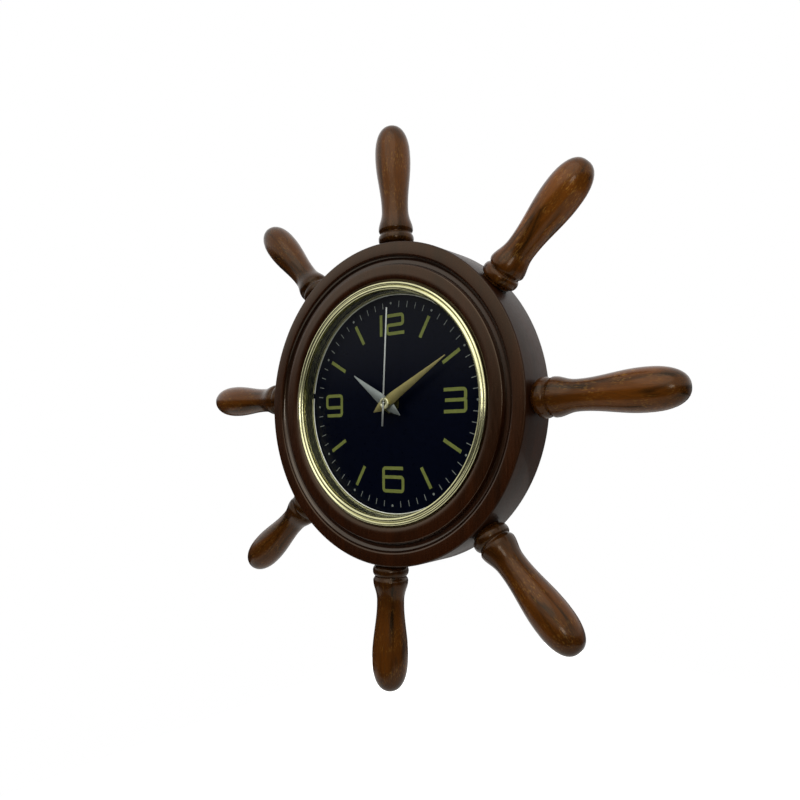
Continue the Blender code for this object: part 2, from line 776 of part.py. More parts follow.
def make_retaining_ring():
    """A sprung wire ring at the foot of the bezel wall, split at 9 o'clock."""
    radius = CUP_FOOT_RADIUS - RETAINING_WIRE_RADIUS - 0.2 * MM
    curve = bpy.data.curves.new("retaining_ring", "CURVE")
    curve.dimensions = "3D"
    curve.bevel_depth = RETAINING_WIRE_RADIUS
    curve.bevel_resolution = 1
    curve.use_fill_caps = True
    count = 36
    spline = curve.splines.new("POLY")
    spline.points.add(count)
    for i, point in enumerate(spline.points):
        degrees = 270 + RETAINING_GAP_DEG / 2 + (360 - RETAINING_GAP_DEG) * i / count
        x, y = polar(radius, degrees)
        point.co = (x, y, 0.0, 1.0)
    height = DIAL_FACE_HEIGHT + GAP + RETAINING_WIRE_RADIUS
    put("retaining_ring", curve, (0, 0, height), brass)


# Hands


def lance_outline(length, tail, shoulder):
    """A lance hand that points to 12: long blade, waist at the pivot, short spear tail."""
    side = [
        (LANCE_TIP_HALF_WIDTH, length),
        (BLADE_HALF_WIDTH, shoulder),
        (WAIST_HALF_WIDTH, 0.0),
        (BLADE_HALF_WIDTH * 0.9, -tail * 0.38),
        (LANCE_TAIL_HALF_WIDTH, -tail),
    ]
    return side + [(-x, y) for x, y in side[::-1]]


def make_hour_hand():
    bore = HOUR_TUBE_RADIUS + GAP
    outline = lance_outline(HOUR_HAND_LENGTH, HOUR_TAIL_LENGTH, HOUR_SHOULDER_AT)
    low = HOUR_HAND_HEIGHT
    top = low + BLADE_THICKNESS
    hand = plate("hour_hand", [outline], low, top, (0, 0, 0), champagne_metal, HOUR_DEG)
    collet = rod(
        "hour_collet", bore + COLLET_WALL, low - COLLET_DEPTH, top - GAP / 2, 20, (0, 0, 0)
    )
    hole = rod("hour_hole", bore, low - 2 * MM, top + MM, 20, (0, 0, 0))
    join(hand, collet)
    cut(hand, hole)


def make_minute_hand():
    outline = lance_outline(MINUTE_HAND_LENGTH, MINUTE_TAIL_LENGTH, MINUTE_SHOULDER_AT)
    hole = circle(MINUTE_TUBE_RADIUS + GAP, BORE_STEPS)
    low = MINUTE_HAND_HEIGHT
    top = low + BLADE_THICKNESS
    plate("minute_hand", [outline, hole], low, top, (0, 0, 0), champagne_metal, MINUTE_DEG)


def make_second_hand():
    half = SECOND_HAND_WIDTH / 2
    low = SECOND_HAND_HEIGHT
    top = low + SECOND_HAND_THICKNESS
    outline = [
        (half * 0.7, SECOND_HAND_LENGTH),
        (half, -SECOND_TAIL_LENGTH),
        (-half, -SECOND_TAIL_LENGTH),
        (-half * 0.7, SECOND_HAND_LENGTH),
    ]
    hand = plate("second_hand", [outline], low, top, (0, 0, 0), champagne_metal, SECOND_DEG)
    bore = SECONDS_ARBOR_RADIUS + GAP
    sleeve = tube(
        "second_sleeve", bore + SLEEVE_WALL, bore, low - SLEEVE_LENGTH, low + GAP / 2, 16, (0, 0, 0)
    )
    join(hand, sleeve)


def make_hand_nut():
    low = MINUTE_HAND_HEIGHT + BLADE_THICKNESS + GAP
    top = low + HAND_NUT_THICKNESS
    bore = MINUTE_TUBE_RADIUS + GAP
    profile = [
        (bore, top),
        (HAND_NUT_RADIUS - HAND_NUT_CHAMFER, top),
        (HAND_NUT_RADIUS, top - HAND_NUT_CHAMFER),
        (HAND_NUT_RADIUS, low),
        (bore, low),
    ]
    smooth(turned("hand_nut", profile, 20, (0, 0, 0), brass, ring=True))


# Fastening of the movement to the dial


def make_dial_fasteners():
    bore = HOUR_TUBE_RADIUS + RUNNING_CLEARANCE
    low = CASE_INNER_FRONT + BUSH_SETBACK
    tube("threaded_bush", BUSH_RADIUS, bore, low, BUSH_TOP, BORE_STEPS, (0, 0, 0), brass)
    hole = BUSH_RADIUS + GAP
    low = CASE_FRONT + GAP
    top = low + RUBBER_WASHER_THICKNESS
    tube(
        "rubber_washer", RUBBER_WASHER_RADIUS, hole, low, top, BORE_STEPS, (0, 0, 0), rubber
    )
    low = DIAL_FACE_HEIGHT + GAP
    top = low + WASHER_THICKNESS
    tube("dial_washer", WASHER_RADIUS, hole, low, top, BORE_STEPS, (0, 0, 0), brass)
    low = top + GAP
    corner = HEX_NUT_HALF_WIDTH / math.cos(math.radians(30))
    outlines = [circle(corner, 6), circle(hole, BORE_STEPS)]
    plate("hex_nut", outlines, low, low + HEX_NUT_THICKNESS, (0, 0, 0), brass)


# Movement case


def make_front_case():
    half = CASE_SIDE / 2
    low, high = (-half, -half, CASE_SPLIT), (half, half, CASE_FRONT)
    case = box("movement_front_case", low, high, black_plastic)
    bevel(case, CASE_CORNER / 2)
    inner = CASE_INNER_HALF
    hollow = box(
        "front_case_hollow", (-inner, -inner, CASE_SPLIT - MM), (inner, inner, CASE_INNER_FRONT)
    )
    bush_hole = rod(
        "bush_hole", BUSH_RADIUS + GAP, CASE_INNER_FRONT - MM, CASE_FRONT + MM, BORE_STEPS, (0, 0, 0)
    )
    cut(case, hollow)
    divider = box(
        "front_divider",
        (-inner - CASE_WALL / 2, BAY_TOP_Y, CASE_SPLIT + GAP),
        (inner + CASE_WALL / 2, BAY_TOP_Y + CASE_FLOOR, CASE_INNER_FRONT + CASE_FLOOR / 2),
    )
    join(case, divider)
    cut(case, bush_hole)
    for name, (x, y), radius in (
        ("motion", MOTION_ARBOR, MOTION_ARBOR_RADIUS),
        ("knob", KNOB_ARBOR, KNOB_SHAFT_RADIUS),
    ):
        pivot = rod(
            name + "_front_pivot",
            radius + RUNNING_CLEARANCE,
            CASE_INNER_FRONT - MM,
            CASE_INNER_FRONT + PIVOT_DEPTH,
            ARBOR_STEPS,
            (x, y, 0.0),
        )
        cut(case, pivot)


def make_back_cover():
    """The back shell, open over the battery bay, with a wall between the bay and the gears."""
    half = CASE_SIDE / 2
    top = CASE_SPLIT - GAP
    cover = box("movement_back_cover", (-half, -half, CASE_BACK), (half, half, top), black_plastic)
    bevel(cover, CASE_CORNER / 2)
    inner = CASE_INNER_HALF
    hollow = box("back_cover_hollow", (-inner, -inner, CASE_INNER_BACK), (inner, inner, top + MM))
    bay = box(
        "battery_bay", (-inner, -inner, CASE_BACK - MM), (inner, BAY_TOP_Y, CASE_INNER_BACK + MM)
    )
    cut(cover, hollow)
    divider = box(
        "bay_divider",
        (-inner - CASE_WALL / 2, BAY_TOP_Y, CASE_INNER_BACK - CASE_FLOOR / 2),
        (inner + CASE_WALL / 2, BAY_TOP_Y + CASE_FLOOR, top - GAP),
    )
    join(cover, divider)
    cut(cover, bay)
    for name, (x, y) in (
        ("seconds", CENTRE),
        ("third", THIRD_ARBOR),
        ("step", STEP_ARBOR),
        ("rotor", ROTOR_ARBOR),
    ):
        pivot = rod(
            name + "_back_pivot",
            ARBOR_RADIUS + RUNNING_CLEARANCE,
            CASE_INNER_BACK - PIVOT_DEPTH,
            CASE_INNER_BACK + MM,
            ARBOR_STEPS,
            (x, y, 0.0),
        )
        cut(cover, pivot)
    knob_hole = rod(
        "knob_hole",
        KNOB_SHAFT_RADIUS + GAP,
        CASE_BACK - MM,
        CASE_INNER_BACK + MM,
        ARBOR_STEPS,
        (*KNOB_ARBOR, 0.0),
    )
    cut(cover, knob_hole)


def make_gear_plate():
    side = CASE_INNER_HALF - GAP
    low_y = BAY_TOP_Y + CASE_FLOOR + GAP
    edge = [(side, side), (side, low_y), (-side, low_y), (-side, side)]
    holes = [circle(MINUTE_TUBE_RADIUS + RUNNING_CLEARANCE, BORE_STEPS)]
    for (x, y), radius in (
        (THIRD_ARBOR, ARBOR_RADIUS),
        (STEP_ARBOR, ARBOR_RADIUS),
        (ROTOR_ARBOR, ARBOR_RADIUS),
        (MOTION_ARBOR, MOTION_ARBOR_RADIUS),
        (KNOB_ARBOR, KNOB_SHAFT_RADIUS),
    ):
        holes.append(circle(radius + RUNNING_CLEARANCE, ARBOR_STEPS, (x, y)))
    low = GEAR_PLATE_LEVEL
    plate("gear_plate", [edge, *holes], low, low + GEAR_PLATE_THICKNESS, (0, 0, 0), nylon)


# Gear train


def tooth_outline(teeth, module, offset=0.0):
    """Straight-flanked teeth with pointed gaps, turned clockwise by offset pitches."""
    pitch_radius = module * teeth / 2
    tip = pitch_radius + TOOTH_ABOVE_PITCH * module
    root = pitch_radius - TOOTH_BELOW_PITCH * module
    pitch = 360 / teeth
    points = []
    for i in range(teeth):
        middle = pitch * (i + offset)
        points.append(polar(tip, middle - TOOTH_TIP_SHARE * pitch))
        points.append(polar(tip, middle + TOOTH_TIP_SHARE * pitch))
        points.append(polar(root, middle + pitch / 2))
    return points


def facing_offset(teeth, direction_deg, other_teeth, offset=0.0):
    """The offset that puts the other wheel's teeth in the gaps of this one, which it faces."""
    own = direction_deg * teeth / 360
    other = (direction_deg + 180) * other_teeth / 360
    return own + other - offset + 0.5


def gear(name, teeth, module, level, place, offset=0.0, finish=None):
    outline = tooth_outline(teeth, module, offset)
    return plate(name, [outline], level, level + WHEEL_THICKNESS, (*place, 0.0), finish)


def arbor(name, radius, low, high, place=CENTRE):
    return rod(name, radius, low, high, ARBOR_STEPS, (*place, 0.0))


def back_pivot_end():
    return CASE_INNER_BACK - PIVOT_DEPTH + GAP


def plate_pivot_end():
    return GEAR_PLATE_LEVEL + GEAR_PLATE_THICKNESS * 0.6


def front_pivot_end():
    return CASE_INNER_FRONT + PIVOT_DEPTH - GAP


def make_rotor():
    rotor = gear("rotor", ROTOR_TEETH, STEP_MODULE, STEP_LEVEL, ROTOR_ARBOR, finish=magnet_black)
    middle = STATOR_LEVEL + STATOR_THICKNESS / 2
    low, high = middle - MAGNET_HEIGHT / 2, middle + MAGNET_HEIGHT / 2
    magnet = rod("rotor_magnet", MAGNET_RADIUS, low, high, 20, (*ROTOR_ARBOR, 0.0))
    spindle = arbor("rotor_arbor", ARBOR_RADIUS, back_pivot_end(), plate_pivot_end(), ROTOR_ARBOR)
    join(rotor, spindle, magnet)


def make_step_wheel():
    offset = facing_offset(ROTOR_TEETH, ROTOR_FROM_STEP_DEG + 180, STEP_WHEEL_TEETH)
    wheel = gear(
        "step_wheel", STEP_WHEEL_TEETH, STEP_MODULE, STEP_LEVEL, STEP_ARBOR, offset, nylon
    )
    pinion = gear("step_pinion", STEP_PINION_TEETH, SECONDS_MODULE, SECONDS_LEVEL, STEP_ARBOR)
    spindle = arbor("step_arbor", ARBOR_RADIUS, back_pivot_end(), plate_pivot_end(), STEP_ARBOR)
    join(wheel, spindle, pinion)


def make_seconds_wheel():
    """The wheel on the seconds arbor, which runs through the clock to the second hand."""
    offset = facing_offset(STEP_PINION_TEETH, STEP_ARBOR_DEG + 180, SECONDS_WHEEL_TEETH)
    wheel = gear(
        "seconds_wheel", SECONDS_WHEEL_TEETH, SECONDS_MODULE, SECONDS_LEVEL, CENTRE, offset, nylon
    )
    pinion = gear("seconds_pinion", SECONDS_PINION_TEETH, THIRD_MODULE, THIRD_LEVEL, CENTRE)
    high = SECOND_HAND_HEIGHT - GAP / 2
    spindle = arbor("seconds_arbor", SECONDS_ARBOR_RADIUS, back_pivot_end(), high)
    join(wheel, spindle, pinion)


def make_third_wheel():
    offset = facing_offset(SECONDS_PINION_TEETH, THIRD_ARBOR_DEG, THIRD_WHEEL_TEETH)
    wheel = gear(
        "third_wheel", THIRD_WHEEL_TEETH, THIRD_MODULE, THIRD_LEVEL, THIRD_ARBOR, offset, nylon
    )
    pinion = gear("third_pinion", THIRD_PINION_TEETH, CENTRE_MODULE, CENTRE_LEVEL, THIRD_ARBOR)
    spindle = arbor("third_arbor", ARBOR_RADIUS, back_pivot_end(), plate_pivot_end(), THIRD_ARBOR)
    join(wheel, spindle, pinion)


def make_centre_wheel():
    """The wheel that carries the minute arbor round by friction."""
    offset = facing_offset(THIRD_PINION_TEETH, THIRD_ARBOR_DEG + 180, CENTRE_WHEEL_TEETH)
    outline = tooth_outline(CENTRE_WHEEL_TEETH, CENTRE_MODULE, offset)
    hole = circle(MINUTE_TUBE_RADIUS + RUNNING_CLEARANCE, BORE_STEPS)
    high = CENTRE_LEVEL + WHEEL_THICKNESS
    plate("centre_wheel", [outline, hole], CENTRE_LEVEL, high, (0, 0, 0), nylon)


def make_minute_arbor():
    """A tube with the cannon pinion, from the centre wheel to the hand nut."""
    piece = gear("minute_arbor", CANNON_TEETH, MOTION_MODULE, MOTION_LEVEL, CENTRE, finish=brass)
    low = CENTRE_LEVEL - GAP
    high = SECOND_HAND_HEIGHT - SLEEVE_LENGTH - GAP
    body = rod("minute_tube", MINUTE_TUBE_RADIUS, low, high, BORE_STEPS, (0, 0, 0))
    bore = rod("minute_bore", MINUTE_BORE_RADIUS, low - MM, high + MM, 12, (0, 0, 0))
    join(piece, body)
    cut(piece, bore)


def motion_wheel_offset():
    return facing_offset(CANNON_TEETH, MOTION_ARBOR_DEG, MOTION_WHEEL_TEETH)


def make_motion_wheel():
    wheel = gear(
        "motion_wheel",
        MOTION_WHEEL_TEETH,
        MOTION_MODULE,
        MOTION_LEVEL,
        MOTION_ARBOR,
        motion_wheel_offset(),
        nylon,
    )
    pinion = gear(
        "motion_pinion", MOTION_PINION_TEETH, MOTION_PINION_MODULE, HOUR_LEVEL, MOTION_ARBOR
    )
    ends = plate_pivot_start(), front_pivot_end()
    join(wheel, arbor("motion_arbor", MOTION_ARBOR_RADIUS, *ends, MOTION_ARBOR), pinion)


def plate_pivot_start():
    return GEAR_PLATE_LEVEL + GEAR_PLATE_THICKNESS * 0.2


def make_hour_wheel():
    """A wheel on the tube that carries the hour hand."""
    offset = facing_offset(MOTION_PINION_TEETH, MOTION_ARBOR_DEG + 180, HOUR_WHEEL_TEETH)
    wheel = gear(
        "hour_wheel", HOUR_WHEEL_TEETH, MOTION_PINION_MODULE, HOUR_LEVEL, CENTRE, offset, nylon
    )
    high = HOUR_HAND_HEIGHT + BLADE_THICKNESS + GAP / 2
    body = rod("hour_tube", HOUR_TUBE_RADIUS, HOUR_LEVEL, high, BORE_STEPS, (0, 0, 0))
    bore_radius = MINUTE_TUBE_RADIUS + RUNNING_CLEARANCE
    bore = rod("hour_bore", bore_radius, HOUR_LEVEL - MM, high + MM, BORE_STEPS, (0, 0, 0))
    join(wheel, body)
    cut(wheel, bore)


def make_setting_knob():
    offset = facing_offset(
        MOTION_WHEEL_TEETH, KNOB_FROM_MOTION_DEG, KNOB_PINION_TEETH, motion_wheel_offset()
    )
    knob = gear(
        "setting_knob",
        KNOB_PINION_TEETH,
        MOTION_MODULE,
        MOTION_LEVEL,
        KNOB_ARBOR,
        offset,
        black_plastic,
    )
    high = CASE_BACK - GAP
    low = high - KNOB_THICKNESS
    disc = rod("knob_disc", KNOB_RADIUS, low, high, 20, (*KNOB_ARBOR, 0.0))
    shaft = arbor("knob_shaft", KNOB_SHAFT_RADIUS, low + GAP, front_pivot_end(), KNOB_ARBOR)
    join(knob, shaft, disc)


# Stepping motor and circuit


def make_stator():
    """A flat iron loop: the bar round the magnet, two legs and the core of the coil."""
    x, y = ROTOR_ARBOR
    inner = COIL_LENGTH / 2 + GAP
    outer = inner + STATOR_LEG_WIDTH
    core_y = y + COIL_FROM_ROTOR
    edge_low, edge_high = y - STATOR_BAR_HALF_WIDTH, core_y + CORE_HALF_WIDTH
    edge = rectangle(x - outer, edge_low, x + outer, edge_high)
    window = rectangle(
        x - inner, y + STATOR_BAR_HALF_WIDTH, x + inner, core_y - CORE_HALF_WIDTH
    )
    hole = circle(MAGNET_RADIUS + STATOR_HOLE_CLEARANCE, 20, ROTOR_ARBOR)
    high = STATOR_LEVEL + STATOR_THICKNESS
    plate("stator", [edge, window, hole], STATOR_LEVEL, high, (0, 0, 0), magnet_iron)


def make_coil():
    """A flanged bobbin with its winding, on the stator's core."""
    bore = math.hypot(CORE_HALF_WIDTH, STATOR_THICKNESS / 2) + GAP
    half = COIL_LENGTH / 2
    flange = half - COIL_FLANGE
    winding = COIL_RADIUS - WINDING_INSET
    profile = [
        (bore, half),
        (COIL_RADIUS, half),
        (COIL_RADIUS, flange),
        (winding, flange),
        (winding, -flange),
        (COIL_RADIUS, -flange),
        (COIL_RADIUS, -half),
        (bore, -half),
    ]
    place = (ROTOR_ARBOR[0], ROTOR_ARBOR[1] + COIL_FROM_ROTOR, COIL_HEIGHT)
    turned("coil", profile, 16, place, copper, ALONG_X, ring=True)


def make_circuit():
    high = GEAR_PLATE_LEVEL - GAP
    low = high - BOARD_THICKNESS
    right, top = CASE_INNER_HALF - GAP, CASE_INNER_HALF - GAP
    left, bottom = right - BOARD_WIDTH, top - BOARD_HEIGHT
    box("circuit_board", (left, bottom, low), (right, top, high), circuit_green)
    place = ((left + right) / 2, (bottom + top) / 2, low - GAP - CRYSTAL_RADIUS)
    half = CRYSTAL_LENGTH / 2
    rod("quartz_crystal", CRYSTAL_RADIUS, -half, half, 16, place, zinc_steel, ALONG_X)


# Battery


def make_battery():
    right = CASE_INNER_HALF - 2 * GAP - CONTACT_THICKNESS
    edge = BATTERY_EDGE
    shoulder = -BATTERY_NUB_LENGTH
    end = -BATTERY_LENGTH
    profile = [
        (0.0, 0.0),
        (BATTERY_NUB_RADIUS, 0.0),
        (BATTERY_NUB_RADIUS, shoulder),
        (BATTERY_RADIUS - edge, shoulder),
        (BATTERY_RADIUS, shoulder - edge),
        (BATTERY_RADIUS, end + edge),
        (BATTERY_RADIUS - edge, end),
        (0.0, end),
    ]
    place = (right, BATTERY_PLACE_Y, BATTERY_HEIGHT)
    turned("battery", profile, 20, place, cell_wrap, ALONG_X)


def contact_box(name, left, finish):
    half = CONTACT_WIDTH / 2
    low = (left, BATTERY_PLACE_Y - half, BATTERY_HEIGHT - half)
    high = (left + CONTACT_THICKNESS, BATTERY_PLACE_Y + half, BATTERY_HEIGHT + half)
    return box(name, low, high, finish)


def make_contacts():
    """A flat plate at the positive end and a plate with a pressed dimple at the negative end."""
    edge = CASE_INNER_HALF - GAP
    contact_box("battery_contact_positive", edge - CONTACT_THICKNESS, zinc_steel)
    negative = contact_box("battery_contact_negative", -edge, zinc_steel)
    profile = [
        (0.0, DIMPLE_REACH),
        (DIMPLE_TIP_RADIUS, DIMPLE_REACH),
        (DIMPLE_FOOT_RADIUS, -CONTACT_THICKNESS / 2),
        (0.0, -CONTACT_THICKNESS / 2),
    ]
    place = (CONTACT_THICKNESS - edge, BATTERY_PLACE_Y, BATTERY_HEIGHT)
    join(negative, turned("contact_dimple", profile, 12, place, rotation=ALONG_X))


def main():
    make_wheel_body()
    make_handles()
    make_hanger()
    make_bezel()
    make_glass()
    make_dial()
    make_retaining_ring()
    make_hour_hand()
    make_minute_hand()
    make_second_hand()
    make_hand_nut()
    make_dial_fasteners()
    make_front_case()
    make_back_cover()
    make_gear_plate()
    make_rotor()
    make_step_wheel()
    make_seconds_wheel()
    make_third_wheel()
    make_centre_wheel()
    make_minute_arbor()
    make_motion_wheel()
    make_hour_wheel()
    make_setting_knob()
    make_stator()
    make_coil()
    make_circuit()
    make_battery()
    make_contacts()


clear_scene()
PARTS = make_collection("ship_wheel_clock")
CUTTERS = make_collection("ship_wheel_clock_cutters")
CLOCK = bpy.data.objects.new("ship_wheel_clock_frame", None)
PARTS.objects.link(CLOCK)
CLOCK.location = (0.0, 0.0, -HANG_RISE)
CLOCK.rotation_euler = (math.pi / 2, 0.0, 0.0)
main()
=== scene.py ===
"""Looks of the ship wheel wall clock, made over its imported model.

Clock coordinates: X to the right, Y to 12 o'clock, Z out from the wall, with zero on the wheel's
axis at the wall. STAND places them in the world, where the clock faces -Y and hangs at the origin.
"""

import math
from functools import partial

import bmesh
import bpy
from bpy.props import FloatProperty, FloatVectorProperty, IntProperty, PointerProperty
from mathutils import Matrix, Vector


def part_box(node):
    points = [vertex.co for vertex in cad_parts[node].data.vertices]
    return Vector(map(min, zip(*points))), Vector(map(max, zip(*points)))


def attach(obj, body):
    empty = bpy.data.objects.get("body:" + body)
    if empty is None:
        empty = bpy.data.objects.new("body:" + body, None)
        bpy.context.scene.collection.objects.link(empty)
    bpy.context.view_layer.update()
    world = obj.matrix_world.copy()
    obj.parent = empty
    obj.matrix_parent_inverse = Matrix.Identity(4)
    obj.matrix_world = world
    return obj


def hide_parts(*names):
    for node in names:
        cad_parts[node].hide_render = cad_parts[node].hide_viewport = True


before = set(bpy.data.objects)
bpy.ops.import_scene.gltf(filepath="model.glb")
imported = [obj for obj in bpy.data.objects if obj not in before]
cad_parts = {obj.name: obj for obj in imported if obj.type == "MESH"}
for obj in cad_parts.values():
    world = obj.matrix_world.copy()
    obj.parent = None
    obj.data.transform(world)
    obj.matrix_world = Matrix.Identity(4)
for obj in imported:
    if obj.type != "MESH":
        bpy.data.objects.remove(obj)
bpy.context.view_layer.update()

bl_info = {
    "name": "Ship Wheel Clock",
    "version": (1, 0, 0),
    "blender": (4, 5, 0),
    "location": "View3D > Sidebar > Ship Clock",
    "description": "Turned wood, spun brass and a printed dial over the clock's packed model",
    "category": "Object",
}

MM = 0.001
WHEEL_LOW, WHEEL_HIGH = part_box("wheel_body")
BEZEL_LOW, BEZEL_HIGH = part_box("brass_bezel")
DIAL_LOW, DIAL_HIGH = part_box("dial_plate")
AXIS_DROP = -(WHEEL_LOW.z + WHEEL_HIGH.z) / 2
STAND = Matrix.Translation((0.0, 0.0, -AXIS_DROP)) @ Matrix.Rotation(math.pi / 2, 4, "X")
# Edges that turn by more than this stay sharp, and points closer than this become one
SHARP_DEG, WELD = 35.0, 0.001 * MM
# Where the hanger plate's middle is, in clock coordinates
HANGER_Y = AXIS_DROP - 4.5 * MM
# Each handle's angle clockwise from 12 o'clock at the wall, how far it leans from its radius, and
# how light its colour is drawn, which holds its stain and also painted light and shade
HANDLES = (
    ("handle_top", 1.5, -3.9, 0.95),
    ("handle_top_right", 48.5, -3.2, 1.5),
    ("handle_right", 90.5, -2.2, 1.1),
    ("handle_bottom_right", 138.5, -1.7, 0.8),
    ("handle_bottom", 182.5, -1.3, 0.7),
    ("handle_bottom_left", 229.5, 1.7, 0.65),
    ("handle_left", 274.0, -3.1, 0.85),
    ("handle_top_left", 320.0, -3.9, 0.65),
)
# How much of the wheel's colour is left at each radius in millimetres: painted shade darkens the
# hollow between the rings, the ring beside the bezel and the outer edge
SHADE_FROM, SHADE_TO = 80, 120
PAINTED_SHADE_LEVELS = (
    ((84.4, 0.5), (87.0, 1.0), (95.4, 1.0), (96.3, 0.45), (97.0, 0.4), (97.8, 0.8))
    + ((99.2, 0.8), (100.0, 0.4), (101.6, 0.4), (102.4, 1.0), (110.4, 1.0), (111.3, 0.75))
)
# The dial's print: middle lines of the numbers' strokes, in millimetres from the pivot
NUMBER_STROKES = (
    ((-9.05, 48.2), (-9.05, 63.5)),
    ((-4.8, 62.2), (10.7, 62.2), (10.7, 55.45), (-3.5, 55.45), (-3.5, 49.45), (12.0, 49.45)),
    ((44.7, 7.5), (61.9, 7.5), (61.9, 0.5), (45.7, 0.5)),
    ((61.9, 0.4), (61.9, -7.0), (44.7, -7.0)),
    ((9.7, -45.1), (-7.9, -45.1), (-7.9, -61.0), (9.5, -61.0), (9.5, -54.0)),
    ((9.5, -56.0), (9.5, -51.3), (-7.8, -51.3)),
    ((-63.0, -6.9), (-48.1, -6.9), (-48.1, 7.8), (-63.2, 7.8), (-63.2, 1.8)),
    ((-63.2, 3.8), (-63.2, -0.9), (-48.2, -0.9)),
)
# Colours of small fittings, which have no setting
# The dull brass is far darker than the nut's, as painted shade on the fittings round the pivot
CLEAR_GLASS, PLATED_WIRE, NUT_BRASS, DULL_BRASS_SHADED = "#FBFDFC", "#E6E7E0", "#E4E0B4", "#77744C"
RUBBER, FERRITE, SILICON_IRON = "#141414", "#2E2E30", "#8D8E90"
KNOB_GREY, PRINT_GREY = "#6E7072", "#A9ABA8"


def linear(hex_colour):
    """The linear colour of an sRGB hex colour."""
    values = [int(hex_colour[i : i + 2], 16) / 255 for i in (1, 3, 5)]
    return tuple(v / 12.92 if v <= 0.04045 else ((v + 0.055) / 1.055) ** 2.4 for v in values)


def number(name, description, default, unit="NONE"):
    """A setting that is a number."""
    return FloatProperty(name=name, description=description, default=default, unit=unit)


def size(name, description, default):
    """A setting that is a length."""
    return number(name, description, default, "LENGTH")


def tint(name, description, hex_colour):
    """A setting that is a colour."""
    return FloatVectorProperty(
        name=name, description=description, default=linear(hex_colour), size=3, subtype="COLOR"
    )


class WoodSettings(bpy.types.PropertyGroup):
    wheel_radius: size(
        "Wheel radius", "Radius of the wheel's outer wall", (WHEEL_HIGH.x - WHEEL_LOW.x) / 2
    )
    wheel_depth: size(
        "Wheel depth", "From the wall to the front of the rings", WHEEL_HIGH.y - WHEEL_LOW.y
    )
    outer_ring_width: size("Outer ring width", "Width of the flat outer ring", 8.8 * MM)
    cove_width: size("Cove width", "Width of the hollow moulding between the rings", 7.0 * MM)
    handle_length: size("Handle length", "From the wheel's wall to a handle's tip", 88.5 * MM)
    handle_axis_height: size(
        "Handle axis height", "From the wall to the axes of the handles", 16.0 * MM
    )
    bulb_radius: size("Bulb radius", "Largest radius of a handle, near its tip", 12.6 * MM)
    neck_radius: size("Neck radius", "Smallest radius of a handle, past its collar", 9.5 * MM)
    wheel_dark: tint("Wheel stain, dark", "Darkest stain in the wheel's grain", "#180701")
    wheel_light: tint("Wheel stain, light", "Lightest stain in the wheel's grain", "#2B1002")
    handle_dark: tint("Handle stain, dark", "Dark streaks and pores of the handles", "#221204")
    handle_amber: tint("Handle stain, amber", "Amber wood of the handles", "#5E330C")
    varnish: tint(
        "Varnish", "Warm cast that the amber varnish gives to what it mirrors", "#FFDFB5"
    )
    handle_fleck: tint("Handle fleck", "Golden ray flecks of the handles", "#94692B")
    turning_steps: IntProperty(
        name="Turning steps", description="Sides of the turned wheel", default=192, min=24
    )


class BezelSettings(bpy.types.PropertyGroup):
    bezel_radius: size(
        "Bezel radius", "Outer radius of the brass flange", (BEZEL_HIGH.x - BEZEL_LOW.x) / 2
    )
    crown_height: size("Crown height", "From the wall to the top of the beads", -BEZEL_LOW.y)
    glass_radius: size("Glass radius", "Radius of the glass", 79.4 * MM)
    glass_rise: size("Glass rise", "How far the glass domes above its edge", 3.5 * MM)
    brass: tint("Brass", "Colour of the polished brass", "#D0CDA0")


class DialSettings(bpy.types.PropertyGroup):
    face_height: size("Dial face height", "From the wall to the face of the dial", -DIAL_LOW.y)
    dial_radius: size("Dial radius", "Radius of the dial plate", (DIAL_HIGH.x - DIAL_LOW.x) / 2)
    dot_ring: size("Dot ring", "Radius of the ring of dots", 71.1 * MM)
    stick_start: size("Stick start", "From the centre to an hour stick", 51.0 * MM)
    stick_end: size("Stick end", "From the centre to the far end of an hour stick", 66.9 * MM)
    number_stroke: size("Number stroke", "Width of the strokes of the numbers", 2.35 * MM)
    navy: tint("Dial navy", "Lacquer of the dial", "#010412")
    olive: tint("Number olive", "Ink of the numbers and hour sticks", "#6F7638")
    grey: tint("Minute grey", "Ink of the dots and minute marks", "#7A7F7B")


class HandSettings(bpy.types.PropertyGroup):
    hour_length: size("Hour hand length", "From the centre to the hour hand's tip", 36.5 * MM)
    minute_length: size(
        "Minute hand length", "From the centre to the minute hand's tip", 59.0 * MM
    )
    second_length: size(
        "Second hand length", "From the centre to the second hand's tip", 66.5 * MM
    )
    silver: tint("Silver", "Satin metal of the second hand", "#BFC2BD")
    grey_silver: tint(
        "Grey silver", "Satin metal of the hour hand, duller than the second hand", "#969C98"
    )
    champagne: tint("Champagne", "Satin metal of the minute hand", "#9A905E")


class MovementSettings(bpy.types.PropertyGroup):
    black: tint("Black plastic", "Moulded case of the movement", "#17181A")
    nylon: tint("White nylon", "Moulded wheels of the train", "#D9D5C8")
    zinc: tint("Zinc plate", "Plated steel of the hanger, screws and contacts", "#B9BBB8")
    copper: tint("Copper wire", "Enamelled winding of the coil", "#B5632F")
    board_green: tint("Board green", "Solder mask of the circuit board", "#1C5A33")
    cell_wrap: tint("Cell wrap", "Film round the battery", "#1D222B")


class StageSettings(bpy.types.PropertyGroup):
    floor_drop: size("Floor drop", "From the hanging point down to the floor", 0.95)
    key_power: number("Key lamp", "Power of the lamp above", 2.6, "POWER")
    near_power: number("Near lamp", "Power of the lamp beside the camera", 2.2, "POWER")
    room_light: number("Room light", "Strength of the ceiling's soft light", 1.15)
    room_in_glass: number(
        "Room in glass", "Share of the room's light that the clear glass mirrors", 0.055
    )
    room_dark: number(
        "Room dark", "Brightness of the low part of the room, beside the ceiling's", 0.025
    )
    back_wall: number("Back wall", "Brightness of the pale wall behind the clock", 0.35)
    floor_colour: tint("Floor", "Pale floor", "#D2D1CE")


